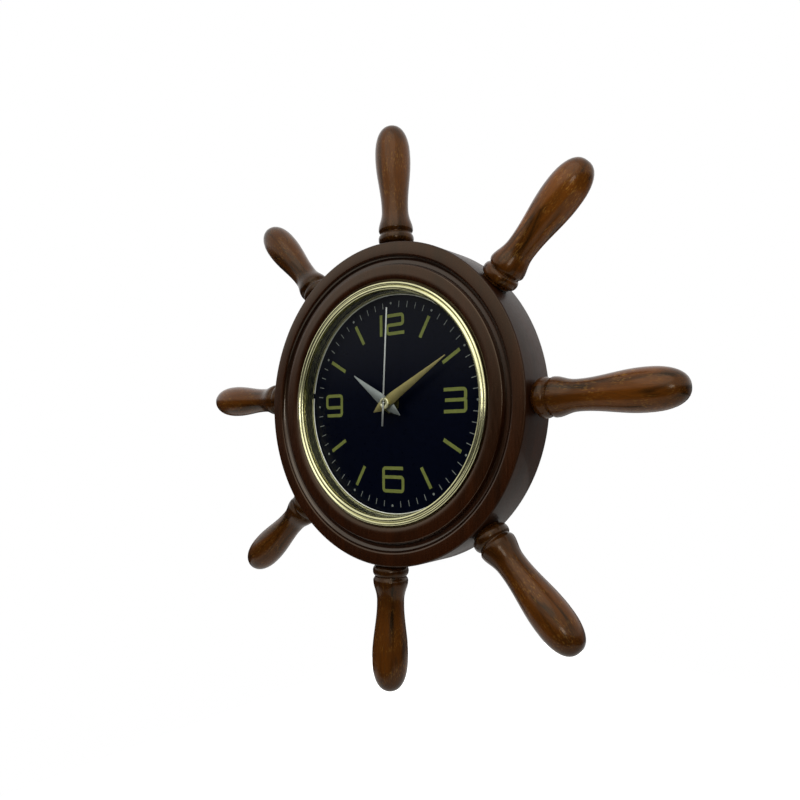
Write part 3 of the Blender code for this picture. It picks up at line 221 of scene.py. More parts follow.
class ClockSettings(bpy.types.PropertyGroup):
    wood: PointerProperty(type=WoodSettings, name="Wood", description="Wheel and handles")
    bezel: PointerProperty(type=BezelSettings, name="Bezel", description="Brass and glass")
    dial: PointerProperty(type=DialSettings, name="Dial", description="Dial and its print")
    hands: PointerProperty(type=HandSettings, name="Hands", description="The three hands")
    movement: PointerProperty(
        type=MovementSettings, name="Movement", description="Movement, hanger and battery"
    )
    stage: PointerProperty(type=StageSettings, name="Stage", description="Lights and camera")


# Shapes


def polar(radius, degrees):
    """A point at this radius and angle, clockwise from 12 o'clock."""
    angle = math.radians(degrees)
    return radius * math.sin(angle), radius * math.cos(angle)


def arc(centre, radii, start_deg, end_deg, count):
    """Points on an elliptic arc; angles run from the first axis towards the second."""
    points = []
    for i in range(count + 1):
        angle = math.radians(start_deg + (end_deg - start_deg) * i / count)
        points.append(
            (centre[0] + radii[0] * math.cos(angle), centre[1] + radii[1] * math.sin(angle))
        )
    return points


def in_mm(*points):
    """Points that are given in millimetres."""
    return [(x * MM, y * MM) for x, y in points]


def ease(share):
    """Half a wave: level at 0 and at 1."""
    return (1 - math.cos(math.pi * share)) / 2


def add_object(name, data):
    """A new object in the scene."""
    made = bpy.data.objects.new(name, data)
    bpy.context.scene.collection.objects.link(made)
    return made


def drawn(*objects):
    """The mesh that the first of these objects shows; after that, all of them go."""
    graph = bpy.context.evaluated_depsgraph_get()
    mesh = bpy.data.meshes.new_from_object(objects[0].evaluated_get(graph))
    for item in objects:
        bpy.data.objects.remove(item, do_unlink=True)
    return mesh


def mesh_from(name, shape, sharp_deg=SHARP_DEG):
    bmesh.ops.recalc_face_normals(shape, faces=shape.faces)
    mesh = bpy.data.meshes.new(name)
    shape.to_mesh(mesh)
    shape.free()
    mesh.shade_smooth()
    mesh.set_sharp_from_angle(angle=math.radians(sharp_deg))
    return mesh


def turned(name, profile, steps, closed=False, sharp_deg=SHARP_DEG):
    """A mesh turned round Z from (radius, height) points."""
    shape = bmesh.new()
    verts = [shape.verts.new((radius, 0.0, height)) for radius, height in profile]
    ring = verts + verts[:1] if closed else verts
    edges = [shape.edges.new(pair) for pair in zip(ring, ring[1:])]
    bmesh.ops.spin(
        shape,
        geom=verts + edges,
        axis=(0.0, 0.0, 1.0),
        angle=math.tau,
        steps=steps,
        use_merge=True,
    )
    bmesh.ops.remove_doubles(shape, verts=shape.verts, dist=WELD)
    return mesh_from(name, shape, sharp_deg)


def plate(name, outlines, low, high, edge=0.0):
    """A flat piece with its edges eased: the first outline is its edge, the others are holes."""
    curve = bpy.data.curves.new(name, "CURVE")
    curve.dimensions = "2D"
    curve.fill_mode = "BOTH"
    curve.extrude = (high - low) / 2 - edge
    curve.bevel_depth = edge
    curve.bevel_resolution = 1
    curve.offset = -edge
    for outline in outlines:
        spline = curve.splines.new("POLY")
        spline.points.add(len(outline) - 1)
        for point, (x, y) in zip(spline.points, outline):
            point.co = (x, y, 0.0, 1.0)
        spline.use_cyclic_u = True
    shape = bmesh.new()
    shape.from_mesh(drawn(add_object(name, curve)))
    bmesh.ops.remove_doubles(shape, verts=shape.verts, dist=WELD)
    bmesh.ops.translate(shape, vec=(0.0, 0.0, (low + high) / 2), verts=shape.verts)
    return mesh_from(name, shape)


def block(name, low, high):
    """A box between two corners."""
    shape = bmesh.new()
    bmesh.ops.create_cube(shape, size=1.0)
    sides = [b - a for a, b in zip(low, high)]
    middle = [(a + b) / 2 for a, b in zip(low, high)]
    bmesh.ops.scale(shape, vec=sides, verts=shape.verts)
    bmesh.ops.translate(shape, vec=middle, verts=shape.verts)
    return mesh_from(name, shape)


def merged(name, meshes):
    """One mesh that holds all of these."""
    shape = bmesh.new()
    for mesh in meshes:
        shape.from_mesh(mesh)
    return mesh_from(name, shape)


def carved(name, mesh, cutters):
    """The mesh with the cutters' space taken out of it."""
    body = add_object(name, mesh)
    blocks = [add_object("cutter", cutter) for cutter in cutters]
    for held in blocks:
        step = body.modifiers.new("Cut", "BOOLEAN")
        step.operation = "DIFFERENCE"
        step.solver = "EXACT"
        step.object = held
    cut = drawn(body, *blocks)
    cut.name = name
    cut.shade_smooth()
    cut.set_sharp_from_angle(angle=math.radians(SHARP_DEG))
    return cut


def place_piece(name, mesh, body, finish, replaced=(), place=None):
    """Puts a mesh on the clock as a piece that rides on a body and may stand for CAD nodes."""
    piece = add_object(name, mesh)
    piece.matrix_world = STAND @ place if place else STAND
    mesh.materials.clear()
    mesh.materials.append(finish)
    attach(piece, body)
    if replaced:
        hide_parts(*replaced)
    return piece


def place_hand(name, mesh, body, finish, node, degrees):
    """A hand that is drawn at 12 o'clock, turned anticlockwise by these degrees."""
    turn = Matrix.Rotation(math.radians(degrees), 4, "Z")
    place_piece(name, mesh, body, finish, (node,), turn)


def finish_node(node, finish):
    """Gives a carried-over CAD node its finish."""
    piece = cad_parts[node]
    for held in piece.material_slots:
        held.material = finish


# Finishes


def add_node(tree, kind, inputs=(), out=0, to=None, stops=None, **settings):
    """Adds one node with its settings, values and links, and gives back one of its outputs.

    A tuple of inputs fills the sockets in their order; a Map Range has value, from and to. The
    output is also linked to the socket that it goes to, if one is given.
    """
    made = tree.nodes.new("ShaderNode" + kind)
    for name, value in settings.items():
        setattr(made, name, value)
    if stops:
        for _ in range(len(stops) - 2):
            made.color_ramp.elements.new(0.5)
        for element, (place, colour) in zip(made.color_ramp.elements, stops):
            element.position = place
            element.color = rgba(colour)
    named = inputs.items() if isinstance(inputs, dict) else enumerate(inputs)
    for socket, value in named:
        if isinstance(value, bpy.types.NodeSocket):
            tree.links.new(value, made.inputs[socket])
        else:
            made.inputs[socket].default_value = value
    if to is not None:
        tree.links.new(made.outputs[out], to)
    return made.outputs[out]


def start_finish(name, **values):
    """A new material, add_node for its tree, its shader's inputs, and object coordinates."""
    made = bpy.data.materials.new(name)
    made.use_nodes = True
    shader = made.node_tree.nodes["Principled BSDF"].inputs
    for socket, value in values.items():
        shader[socket.replace("_", " ")].default_value = value
    add = partial(add_node, made.node_tree)
    return made, add, shader, add("TexCoord", out="Object")


def per_mm(width):
    """Texture scale for a pattern this many millimetres wide, as coordinates are in metres."""
    return 1000.0 / width


def rgba(colour):
    return (*colour, 1.0)


def shaded(colour, level):
    return tuple(value * level for value in colour)


def round_axis(add, coords):
    """How far a point is from the clock's axis, and from the wall."""
    parts = add("SeparateXYZ", (coords,)).node.outputs
    flat = add("CombineXYZ", (parts["X"], parts["Y"]))
    return add("VectorMath", (flat,), "Value", operation="LENGTH"), parts["Z"]


def lay_surface(add, shader, clouds, colour, dark, grain, roughness, strength=0.0, depth=0.0):
    """Colour that clouds by one pattern; roughness, and any relief, that follow another."""
    stops = [(0.35, shaded(colour, dark)), (0.65, colour)]
    add("ValToRGB", (clouds,), to=shader["Base Color"], stops=stops)
    add("MapRange", (grain, 0.3, 0.7, *roughness), to=shader["Roughness"])
    if strength:
        add(
            "Bump", {"Strength": strength, "Distance": depth, "Height": grain}, to=shader["Normal"]
        )


def wheel_wood(wood):
    """Stained hardwood, turned and satin lacquered: dark, close grain under a soft even sheen.

    Lacquer pools in the hollow between the rings, so it is glossiest there; painted shade darkens
    the hollow, the ring beside the bezel and the outer edge.
    The side wall had less polish than the face and looks duller.
    """
    made, add, shader, coords = start_finish(
        "stained_hardwood_satin_lacquer", Specular_Tint=rgba(wood.varnish), Coat_Roughness=0.08
    )
    long_way = add("VectorMath", (coords, (1.0, 0.09, 1.0)), operation="MULTIPLY")
    figure = add(
        "TexNoise", {"Vector": long_way, "Scale": per_mm(9.0), "Detail": 4.0, "Distortion": 0.8}
    )
    grain = add(
        "TexNoise", {"Vector": long_way, "Scale": per_mm(1.1), "Detail": 3.0, "Roughness": 0.65}
    )
    both = add("Mix", {0: 0.35, 2: figure, 3: grain})
    stops = [(0.32, wood.wheel_dark), (0.68, wood.wheel_light)]
    colour = add("ValToRGB", (both,), stops=stops)
    reach, height = round_axis(add, coords)
    # Painted shade by radius, on the front only: darker in the hollows, beside the bezel and at
    # the outer edge
    across = add("MapRange", (reach, SHADE_FROM * MM, SHADE_TO * MM))
    stops = [
        ((radius - SHADE_FROM) / (SHADE_TO - SHADE_FROM), (level, level, level))
        for radius, level in PAINTED_SHADE_LEVELS
    ]
    left = add("ValToRGB", (across,), stops=stops)
    front = add("MapRange", (height, 14 * MM, 16 * MM))
    full = rgba((1.0, 1.0, 1.0))
    left = add("Mix", {0: front, 6: full, 7: left}, 2, data_type="RGBA")
    base = shader["Base Color"]
    add("VectorMath", (colour, left), to=base, operation="MULTIPLY")
    groove_reach, pooled_coat, thin_coat = 98.9 * MM, 0.4, 0.1
    away = add("Math", (reach, groove_reach), operation="SUBTRACT")
    away = add("Math", (away,), operation="ABSOLUTE")
    pooled = add("MapRange", (away, 2.4 * MM, 3.6 * MM, pooled_coat, 0.0))
    pooled = add("Math", (pooled, front), operation="MULTIPLY")
    add("Math", (pooled, thin_coat), to=shader["Coat Weight"], operation="ADD")
    sheen = add("MapRange", (grain, 0.3, 0.7, 0.2, 0.28))
    rim_from, rim_to = wood.wheel_radius - 1.2 * MM, wood.wheel_radius - 0.3 * MM
    rim = add("MapRange", (reach, rim_from, rim_to))
    face_shine, wall_shine = 0.45, 0.13
    shine = (rim, 0.0, 1.0, face_shine, wall_shine)
    add("MapRange", shine, to=shader["Specular IOR Level"])
    rim = add("Math", (rim, 0.25), operation="MULTIPLY")
    add("Math", (sheen, rim), to=shader["Roughness"], operation="ADD")
    add("Bump", {"Strength": 0.15, "Distance": 0.05 * MM, "Height": grain}, to=shader["Normal"])
    return made


def handle_wood(wood):
    """Turned hardwood under gloss varnish: amber, with dark pores and golden ray flecks.

    Pores and flecks are drawn nearly a millimetre wide, coarser than real ones, so that they
    show. The colour is darker towards the tip, and darker towards the foot as painted shade from
    the wheel; each handle is drawn lighter or darker, by its stain and by painted light and shade.
    """
    made, add, shader, coords = start_finish(
        "turned_hardwood_gloss_varnish",
        Specular_IOR_Level=0.2,
        Specular_Tint=rgba(wood.varnish),
        Coat_Weight=0.1,
        Coat_Roughness=0.1,
    )
    own = add("Attribute", out="Vector", attribute_name="grain_shift")
    moved = add("VectorMath", (coords, own), operation="ADD")
    long_way = add("VectorMath", (moved, (1.0, 1.0, 0.1)), operation="MULTIPLY")
    short_way = add("VectorMath", (moved, (1.0, 1.0, 0.3)), operation="MULTIPLY")
    figure = add(
        "TexNoise", {"Vector": long_way, "Scale": per_mm(8.0), "Detail": 3.0, "Distortion": 1.2}
    )
    pores = add(
        "TexNoise", {"Vector": long_way, "Scale": per_mm(0.9), "Detail": 2.0, "Roughness": 0.6}
    )
    rays = add("TexNoise", {"Vector": short_way, "Scale": per_mm(0.8), "Detail": 1.0})
    patches = add("TexNoise", {"Vector": moved, "Scale": per_mm(11.0), "Detail": 1.0})
    amber = wood.handle_amber
    stops = [(0.3, wood.handle_dark), (0.5, shaded(amber, 0.75)), (0.72, amber)]
    ground = add("ValToRGB", (figure,), stops=stops)
    dark = add("MapRange", (pores, 0.34, 0.5, 0.72, 1.0))
    streaked = add("VectorMath", {0: ground, "Scale": dark}, operation="SCALE")
    fleck = add("MapRange", (rays, 0.54, 0.68, 0.0, 0.36))
    patch = add("MapRange", (patches, 0.42, 0.6))
    share = add("Math", (fleck, patch), operation="MULTIPLY")
    blend = {0: share, 6: streaked, 7: rgba(wood.handle_fleck)}
    flecked = add("Mix", blend, 2, data_type="RGBA")
    # Painted shade: darker towards the foot, where the wheel shades it; also darker towards the
    # tip
    along = add("SeparateXYZ", (coords,), "Z")
    foot = add("MapRange", (along, 8 * MM, 42 * MM, 0.38, 1.0))
    tip = add("MapRange", (along, 72 * MM, 88 * MM, 1.0, 0.4))
    shade_and_tone = add("Math", (foot, tip), operation="MULTIPLY")
    # Each handle's own level: its stain, with painted light and shade
    tone_with_painted_light = add("Attribute", out="Fac", attribute_name="tone_with_painted_light")
    shade_and_tone = add("Math", (shade_and_tone, tone_with_painted_light), operation="MULTIPLY")
    base = shader["Base Color"]
    add("VectorMath", {0: flecked, "Scale": shade_and_tone}, to=base, operation="SCALE")
    add("MapRange", (pores, 0.3, 0.7, 0.3, 0.2), to=shader["Roughness"])
    add("Bump", {"Strength": 0.2, "Distance": 0.05 * MM, "Height": pores}, to=shader["Normal"])
    return made


def metal(name, colour, roughness, line_mm, strength):
    """Bare metal: its colour clouds a little, and tool lines run round the clock's axis.

    The lines are drawn some tenths of a millimetre apart, coarser than real ones, so that they
    show.
    """
    made, add, shader, coords = start_finish(name, Metallic=1.0)
    clouds = add("TexNoise", {"Vector": coords, "Scale": per_mm(6.0), "Detail": 3.0})
    reach, height = round_axis(add, coords)
    round_way = add("CombineXYZ", {"X": reach, "Z": height})
    tool_lines = add("TexNoise", {"Vector": round_way, "Scale": per_mm(line_mm), "Detail": 2.0})
    spread = (roughness * 0.85, roughness * 1.2)
    lay_surface(add, shader, clouds, colour, 0.9, tool_lines, spread, strength, 0.01 * MM)
    return made


def moulded(name, colour, roughness, grit_mm):
    """Moulded plastic or rubber: the mould's fine spark grain breaks up a soft shine."""
    made, add, shader, coords = start_finish(name)
    grit = add("TexNoise", {"Vector": coords, "Scale": per_mm(grit_mm), "Detail": 2.0})
    flow = add("TexNoise", {"Vector": coords, "Scale": per_mm(14.0), "Detail": 2.0})
    spread = (roughness * 0.85, min(1.0, roughness * 1.2))
    lay_surface(add, shader, flow, colour, 0.85, grit, spread, 0.25, 0.04 * MM)
    return made


def printed(name, colour, roughness, shine):
    """Screen-printed ink or dial lacquer: flat, with faint uneven cover."""
    made, add, shader, coords = start_finish(name, Specular_IOR_Level=shine)
    cover = add("TexNoise", {"Vector": coords, "Scale": per_mm(3.0), "Detail": 4.0})
    lay_surface(add, shader, cover, colour, 0.85, cover, (roughness * 0.9, roughness * 1.1))
    return made


def clear_glass():
    """Pressed clock glass: clear and domed, with a faint waviness in what it mirrors."""
    clear = {"Roughness": 0.0, "IOR": 1.45, "Transmission_Weight": 1.0}
    made, add, shader, coords = start_finish(
        "pressed_clear_glass", **clear, Base_Color=rgba(linear(CLEAR_GLASS))
    )
    wave = add("TexNoise", {"Vector": coords, "Scale": per_mm(30.0), "Detail": 1.0})
    add("Bump", {"Strength": 0.05, "Distance": 0.2 * MM, "Height": wave}, to=shader["Normal"])
    return made


# Profiles


def wheel_profile(wood, bezel):
    """From the bezel's rebate out over the mouldings, down the wall and back up the bore."""
    top = wood.wheel_depth
    ring_in = wood.wheel_radius - wood.outer_ring_width
    cove_in = ring_in - wood.cove_width
    rebate = bezel.bezel_radius + 0.3 * MM
    floor = top - 2.3 * MM
    points = [(rebate, floor), (rebate, top - 1.7 * MM), (rebate + 0.5 * MM, top - 1.45 * MM)]
    points += arc((rebate + 5.6 * MM, top - 1.45 * MM), (4.9 * MM, 1.45 * MM), 175, 90, 7)
    points += [(rebate + 9.2 * MM, top - 0.1 * MM)]
    points += arc((cove_in - 0.9 * MM, top - 0.9 * MM), (0.9 * MM, 0.8 * MM), 85, 8, 5)
    points += [(cove_in + 0.6 * MM, top - 2.7 * MM), (cove_in + 1.0 * MM, top - 3.1 * MM)]
    points += arc((cove_in + 3.0 * MM, top + 0.4 * MM), (3.4 * MM, 3.5 * MM), 270, 345, 8)
    points += arc((ring_in + 0.4 * MM, top - 0.7 * MM), (0.8 * MM, 0.6 * MM), 150, 95, 4)
    round_edge = 1.1 * MM
    points += arc(
        (wood.wheel_radius - round_edge, top - round_edge), (round_edge, round_edge), 90, 0, 8
    )
    points += arc((wood.wheel_radius - 1.0 * MM, 1.0 * MM), (1.0 * MM, 1.0 * MM), 0, -90, 3)
    recess, ledge, bore = 46.0 * MM, 17.9 * MM, bezel.bezel_radius - 3.5 * MM
    points += [
        (recess + 0.5 * MM, 0.0), (recess, 0.5 * MM), (recess, ledge), (bore, ledge),
        (bore, floor),
    ]
    return points


def handle_profile(wood):
    """The turned handle from its tip to its foot at the wheel's wall, along its own axis."""
    tip = wood.handle_length
    bulb = tip - 24.0 * MM
    neck_at, collar_at, groove_at = 27.5 * MM, 12.2 * MM, 8.9 * MM
    collar, bead = 12.3 * MM, 12.6 * MM
    points = []
    for i in range(13):
        angle = math.pi / 2 * i / 12
        radius = wood.bulb_radius * math.sin(angle) ** (2 / 2.4)
        points.append((radius, bulb + 24.0 * MM * math.cos(angle) ** (2 / 2.4)))
    for i in range(1, 15):
        share = 1 - i / 14
        radius = wood.neck_radius + (wood.bulb_radius - wood.neck_radius) * ease(share)
        points.append((radius, neck_at + (bulb - neck_at) * share))
    for i in range(1, 9):
        share = i / 8
        radius = wood.neck_radius + (collar - wood.neck_radius) * ease(share**1.35)
        points.append((radius, neck_at + (collar_at - neck_at) * share))
    points += [
        (collar - 0.05 * MM, collar_at - 0.7 * MM), (collar - 0.4 * MM, collar_at - 1.6 * MM),
        (collar - 1.0 * MM, groove_at + 0.9 * MM), (11.0 * MM, groove_at + 0.2 * MM),
        (11.0 * MM, groove_at - 0.2 * MM),
    ]
    middle = groove_at - 3.7 * MM
    points += arc((10.4 * MM, middle), (bead - 10.4 * MM, 3.6 * MM), 55, -90, 10)
    points += in_mm((10.1, 1.1), (9.9, 0.3), (9.0, 0.3), (0.0, 0.3))
    return points


def bezel_profile(bezel):
    """From the lip out over the two beads, down flange and cup, and up the bright inner wall."""
    rim = bezel.bezel_radius
    crown = bezel.crown_height
    lip = rim - 5.6 * MM
    lip_top = crown - 1.3 * MM
    seat_top = lip_top - 0.6 * MM
    line_at = lip + (rim - lip) * 0.55
    inner_half, outer_half = (line_at - lip) / 2, (rim - line_at) / 2
    rise = crown - lip_top
    flange, cup_out = crown - 2.3 * MM, rim - 3.8 * MM
    foot = rim - 6.7 * MM
    points = [(lip, seat_top), (lip, lip_top - 0.1 * MM)]
    points += arc((line_at - inner_half, lip_top), (inner_half, rise), 172, 36, 12)
    points += [(line_at, lip_top + rise * 0.42)]
    points += arc((line_at + outer_half, lip_top), (outer_half, rise), 144, 0, 12)
    points += [
        (rim, flange + 0.2 * MM), (rim - 0.2 * MM, flange), (cup_out, flange),
        (cup_out, 19.5 * MM), (foot + 0.3 * MM, 19.5 * MM), (foot, 19.8 * MM),
        (foot + 0.8 * MM, seat_top - 1.5 * MM), (cup_out - 0.6 * MM, seat_top - 1.5 * MM),
        (cup_out - 0.6 * MM, seat_top),
    ]
    return points


def mirrored(side):
    """A whole outline from its right side, which runs from its top to its foot."""
    return side + [(-x, y) for x, y in side[::-1]]


def lance(length, tail, shoulder):
    """A lance hand that points to 12: long blade, waist at the pivot, short spear tail."""
    side = [
        (0.35 * MM, length), (3.9 * MM, shoulder), (3.1 * MM, 0.0), (3.5 * MM, -tail * 0.38),
        (0.3 * MM, -tail),
    ]
    return mirrored(side)


def circle(radius, count, centre=(0.0, 0.0)):
    points = [polar(radius, 360 * i / count) for i in range(count)]
    return [(centre[0] + x, centre[1] + y) for x, y in points]


def stroke(points, width, bend):
    """The outline of a broad line along these points, its corners bent to this middle radius."""
    path = [Vector(points[0])]
    for before, corner, after in zip(points, points[1:], points[2:]):
        corner = Vector(corner)
        into = (Vector(before) - corner).normalized()
        out = (Vector(after) - corner).normalized()
        for i in range(7):
            angle = math.pi / 2 * i / 6
            path.append(
                corner + into * bend * (1 - math.sin(angle)) + out * bend * (1 - math.cos(angle))
            )
    path.append(Vector(points[-1]))
    left, right = [], []
    for i, point in enumerate(path):
        heading = path[min(i + 1, len(path) - 1)] - path[max(i - 1, 0)]
        side = Vector((-heading.y, heading.x)).normalized() * width / 2
        left.append(tuple(point + side))
        right.append(tuple(point - side))
    return left + right[::-1]


class SHIPCLOCK_OT_wheel(bpy.types.Operator):
    """Make the turned wheel body with its mouldings, recess and hanger pocket"""

    bl_idname = "shipclock.wheel"
    bl_label = "Wheel body"

    def execute(self, context):
        clock = context.scene.ship_clock
        wood = clock.wood
        profile = wheel_profile(wood, clock.bezel)
        mesh = turned("wheel_body_turned", profile, wood.turning_steps, closed=True)
        cutters = []
        # Half width, half height, bottom and top of the plate's recess and of the nail's pocket
        for half, rise, low, high in ((23.3, 11.3, -1.0, 2.0), (5.8, 9.3, 1.0, 9.0)):
            start = (-half * MM, HANGER_Y - rise * MM, low * MM)
            cutters.append(block("cut", start, (half * MM, HANGER_Y + rise * MM, high * MM)))
        mesh = carved("wheel_body_turned", mesh, cutters)
        finish = wheel_wood(wood)
        place_piece("turned_wheel_body", mesh, "clock", finish, ("wheel_body",))
        return {"FINISHED"}


class SHIPCLOCK_OT_handles(bpy.types.Operator):
    """Make the eight turned handles"""

    bl_idname = "shipclock.handles"
    bl_label = "Handles"

    def execute(self, context):
        wood = context.scene.ship_clock.wood
        finish = handle_wood(wood)
        for index, (name, degrees, lean, tone) in enumerate(HANDLES):
            mesh = turned(name + "_turned", handle_profile(wood), 64, sharp_deg=50.0)
            # Each handle is cut from its own place in the grain
            shift = mesh.attributes.new("grain_shift", "FLOAT_VECTOR", "POINT")
            own = (0.31 * index, 0.17 * index, 0.53 * index)
            shift.data.foreach_set("vector", own * len(mesh.vertices))
            tones = mesh.attributes.new("tone_with_painted_light", "FLOAT", "POINT")
            tones.data.foreach_set("value", [tone] * len(mesh.vertices))
            x, y = polar(wood.wheel_radius, degrees)
            place = Matrix.Translation((x, y, wood.handle_axis_height))
            place @= Matrix.Rotation(-math.radians(degrees + lean), 4, "Z")
            place @= Matrix.Rotation(-math.pi / 2, 4, "X")
            place_piece(f"turned_{name}", mesh, "clock", finish, (name,), place)
        return {"FINISHED"}


class SHIPCLOCK_OT_bezel(bpy.types.Operator):
    """Make the spun brass bezel, the split ring and the domed glass"""

    bl_idname = "shipclock.bezel"
    bl_label = "Bezel and glass"

    def execute(self, context):
        bezel = context.scene.ship_clock.bezel
        brass = metal("spun_polished_brass", bezel.brass, 0.245, 0.3, 0.003)
        mesh = turned("bezel_spun", bezel_profile(bezel), 192, closed=True)
        place_piece("spun_brass_bezel", mesh, "clock", brass, ("brass_bezel",))
        seat, thickness, steps = 28.2 * MM, 0.9 * MM, 16
        curve = (bezel.glass_radius**2 + bezel.glass_rise**2) / (2 * bezel.glass_rise)
        under = []
        for i in range(steps + 1):
            radius = bezel.glass_radius * i / steps
            sag = curve - math.sqrt(curve**2 - radius**2)
            under.append((radius, seat + bezel.glass_rise - sag))
        over = [(radius, height + thickness) for radius, height in under]
        mesh = turned("glass_domed", over + under[::-1], 128)
        glass = place_piece("domed_glass", mesh, "clock", clear_glass(), ("glass",))
        # Lamps and bounced light pass it unhindered, as they nearly do in thin glass
        glass.visible_shadow = glass.visible_diffuse = glass.visible_glossy = False
        self.make_split_ring(metal("nickel_plated_wire", linear(PLATED_WIRE), 0.5, 0.4, 0.04))
        return {"FINISHED"}

    def make_split_ring(self, finish):
        """A ring of round wire at the foot of the bezel's wall, with its gap at 9 o'clock."""
        wire, radius, height = 0.45 * MM, 76.75 * MM, 19.95 * MM
        start, turn, count, sides = 278.0, 357, 160, 12
        shape = bmesh.new()
        rings = []
        for i in range(count + 1):
            ring = []
            for j in range(sides):
                angle = math.tau * j / sides
                x, y = polar(radius + wire * math.cos(angle), start + turn * i / count)
                ring.append(shape.verts.new((x, y, height + wire * math.sin(angle))))
            rings.append(ring)
        for first, second in zip(rings, rings[1:]):
            for j in range(sides):
                k = (j + 1) % sides
                shape.faces.new((first[j], first[k], second[k], second[j]))
        shape.faces.new(rings[0])
        shape.faces.new(rings[-1])
        mesh = mesh_from("split_ring", shape)
        place_piece("sprung_split_ring", mesh, "clock", finish, ("retaining_ring",))


class SHIPCLOCK_OT_dial(bpy.types.Operator):
    """Make the dial plate and its printed numbers, sticks, dots and minute marks"""

    bl_idname = "shipclock.dial"
    bl_label = "Dial"

    def execute(self, context):
        dial = context.scene.ship_clock.dial
        face, rim, hole, ink = dial.face_height, dial.dial_radius, 4.3 * MM, 0.06 * MM
        profile = [(hole, face), (rim, face), (rim, face - MM), (hole, face - MM)]
        mesh = turned("dial_disc", profile, 128, closed=True)
        navy = printed("navy_dial_lacquer", dial.navy, 0.3, 0.05)
        place_piece("lacquered_dial", mesh, "clock", navy, ("dial_plate",))
        top = face + ink
        olive = printed("olive_gold_ink", dial.olive, 0.6, 0.2)
        numbers = []
        for i, points in enumerate(NUMBER_STROKES):
            outline = stroke(in_mm(*points), dial.number_stroke, 1.9 * MM)
            # Every other stroke is printed a little thicker, so that no two faces coincide
            numbers.append(plate("number", [outline], face, top + i % 2 * 0.01 * MM))
        mesh = merged("dial_numbers", numbers)
        place_piece("dial_numbers", mesh, "clock", olive)
        sticks = []
        for hour in (1, 2, 4, 5, 7, 8, 10, 11):
            ends = [polar(radius, 30 * hour) for radius in (dial.stick_start, dial.stick_end)]
            sticks.append(plate("stick", [stroke(ends, 2.5 * MM, 0.0)], face, top))
        place_piece("dial_sticks", merged("dial_sticks", sticks), "clock", olive)
        grey = printed("grey_ink", dial.grey, 0.6, 0.2)
        marks = []
        for minute in range(60):
            if minute % 5:
                ends = [polar(radius, 6 * minute) for radius in (68.0 * MM, 72.3 * MM)]
                outline = stroke(ends, 0.5 * MM, 0.0)
            else:
                outline = circle(0.85 * MM, 20, polar(dial.dot_ring, 6 * minute))
            marks.append(plate("mark", [outline], face, top))
        place_piece("dial_minutes", merged("dial_minutes", marks), "clock", grey)
        return {"FINISHED"}


class SHIPCLOCK_OT_hands(bpy.types.Operator):
    """Make the hour, minute and second hands and the brass hand nut"""

    bl_idname = "shipclock.hands"
    bl_label = "Hands"

    def execute(self, context):
        hands = context.scene.ship_clock.hands
        silver = metal("satin_silver_hand", hands.silver, 0.42, 0.3, 0.1)
        grey = metal("satin_grey_hand", hands.grey_silver, 0.45, 0.3, 0.1)
        champagne = metal("satin_champagne_hand", hands.champagne, 0.42, 0.3, 0.1)
        eased = 0.08 * MM
        outlines = [lance(hands.hour_length, 15.0 * MM, 5.5 * MM), circle(2.8 * MM, 32)]
        blade = plate("hour_blade", outlines, 25.0 * MM, 25.4 * MM, eased)
        profile = in_mm((2.8, 25.25), (3.5, 25.25), (3.5, 23.9), (2.8, 23.9))
        collet = turned("hour_collet", profile, 32, closed=True)
        mesh = merged("hour_hand_blade", [blade, collet])
        place_hand("satin_hour_hand", mesh, "hour", grey, "hour_hand", 55.0)
        outlines = [lance(hands.minute_length, 12.0 * MM, 8.0 * MM), circle(1.8 * MM, 32)]
        mesh = plate("minute_blade", outlines, 26.1 * MM, 26.5 * MM, eased)
        place_hand("satin_minute_hand", mesh, "minute", champagne, "minute_hand", -60.0)
        self.make_second_hand(hands, silver)
        brass = metal("turned_brass_nut", linear(NUT_BRASS), 0.33, 0.5, 0.04)
        profile = in_mm((1.8, 27.9), (1.95, 28.0))
        profile += arc((3.3 * MM, 27.4 * MM), (0.6 * MM, 0.6 * MM), 90, 0, 6)
        profile += in_mm((3.9, 26.8), (1.8, 26.8))
        mesh = turned("hand_nut_turned", profile, 48, closed=True)
        place_piece("turned_hand_nut", mesh, "minute", brass, ("hand_nut",))
        return {"FINISHED"}

    def make_second_hand(self, hands, silver):
        """The blade narrows where it crosses the nut, so the nut's rim shows round it."""
        half, neck = 0.72 * MM, 0.26 * MM
        side = [
            (half * 0.8, hands.second_length), (half * 0.9, 6.5 * MM), (neck, 4.6 * MM),
            (neck, 0.4 * MM), (half, -0.6 * MM), (half, -16.0 * MM),
        ]
        blade = plate("second_blade", [mirrored(side)], 28.3 * MM, 28.6 * MM, 0.06 * MM)
        profile = in_mm((0.0, 28.75), (0.65, 28.75), (0.85, 28.55), (0.85, 27.8), (0.7, 27.8))
        profile += in_mm((0.7, 28.4), (0.0, 28.4))
        mesh = merged("second_hand_blade", [blade, turned("second_boss", profile, 32)])
        place_hand("satin_second_hand", mesh, "seconds", silver, "second_hand", -3.3)


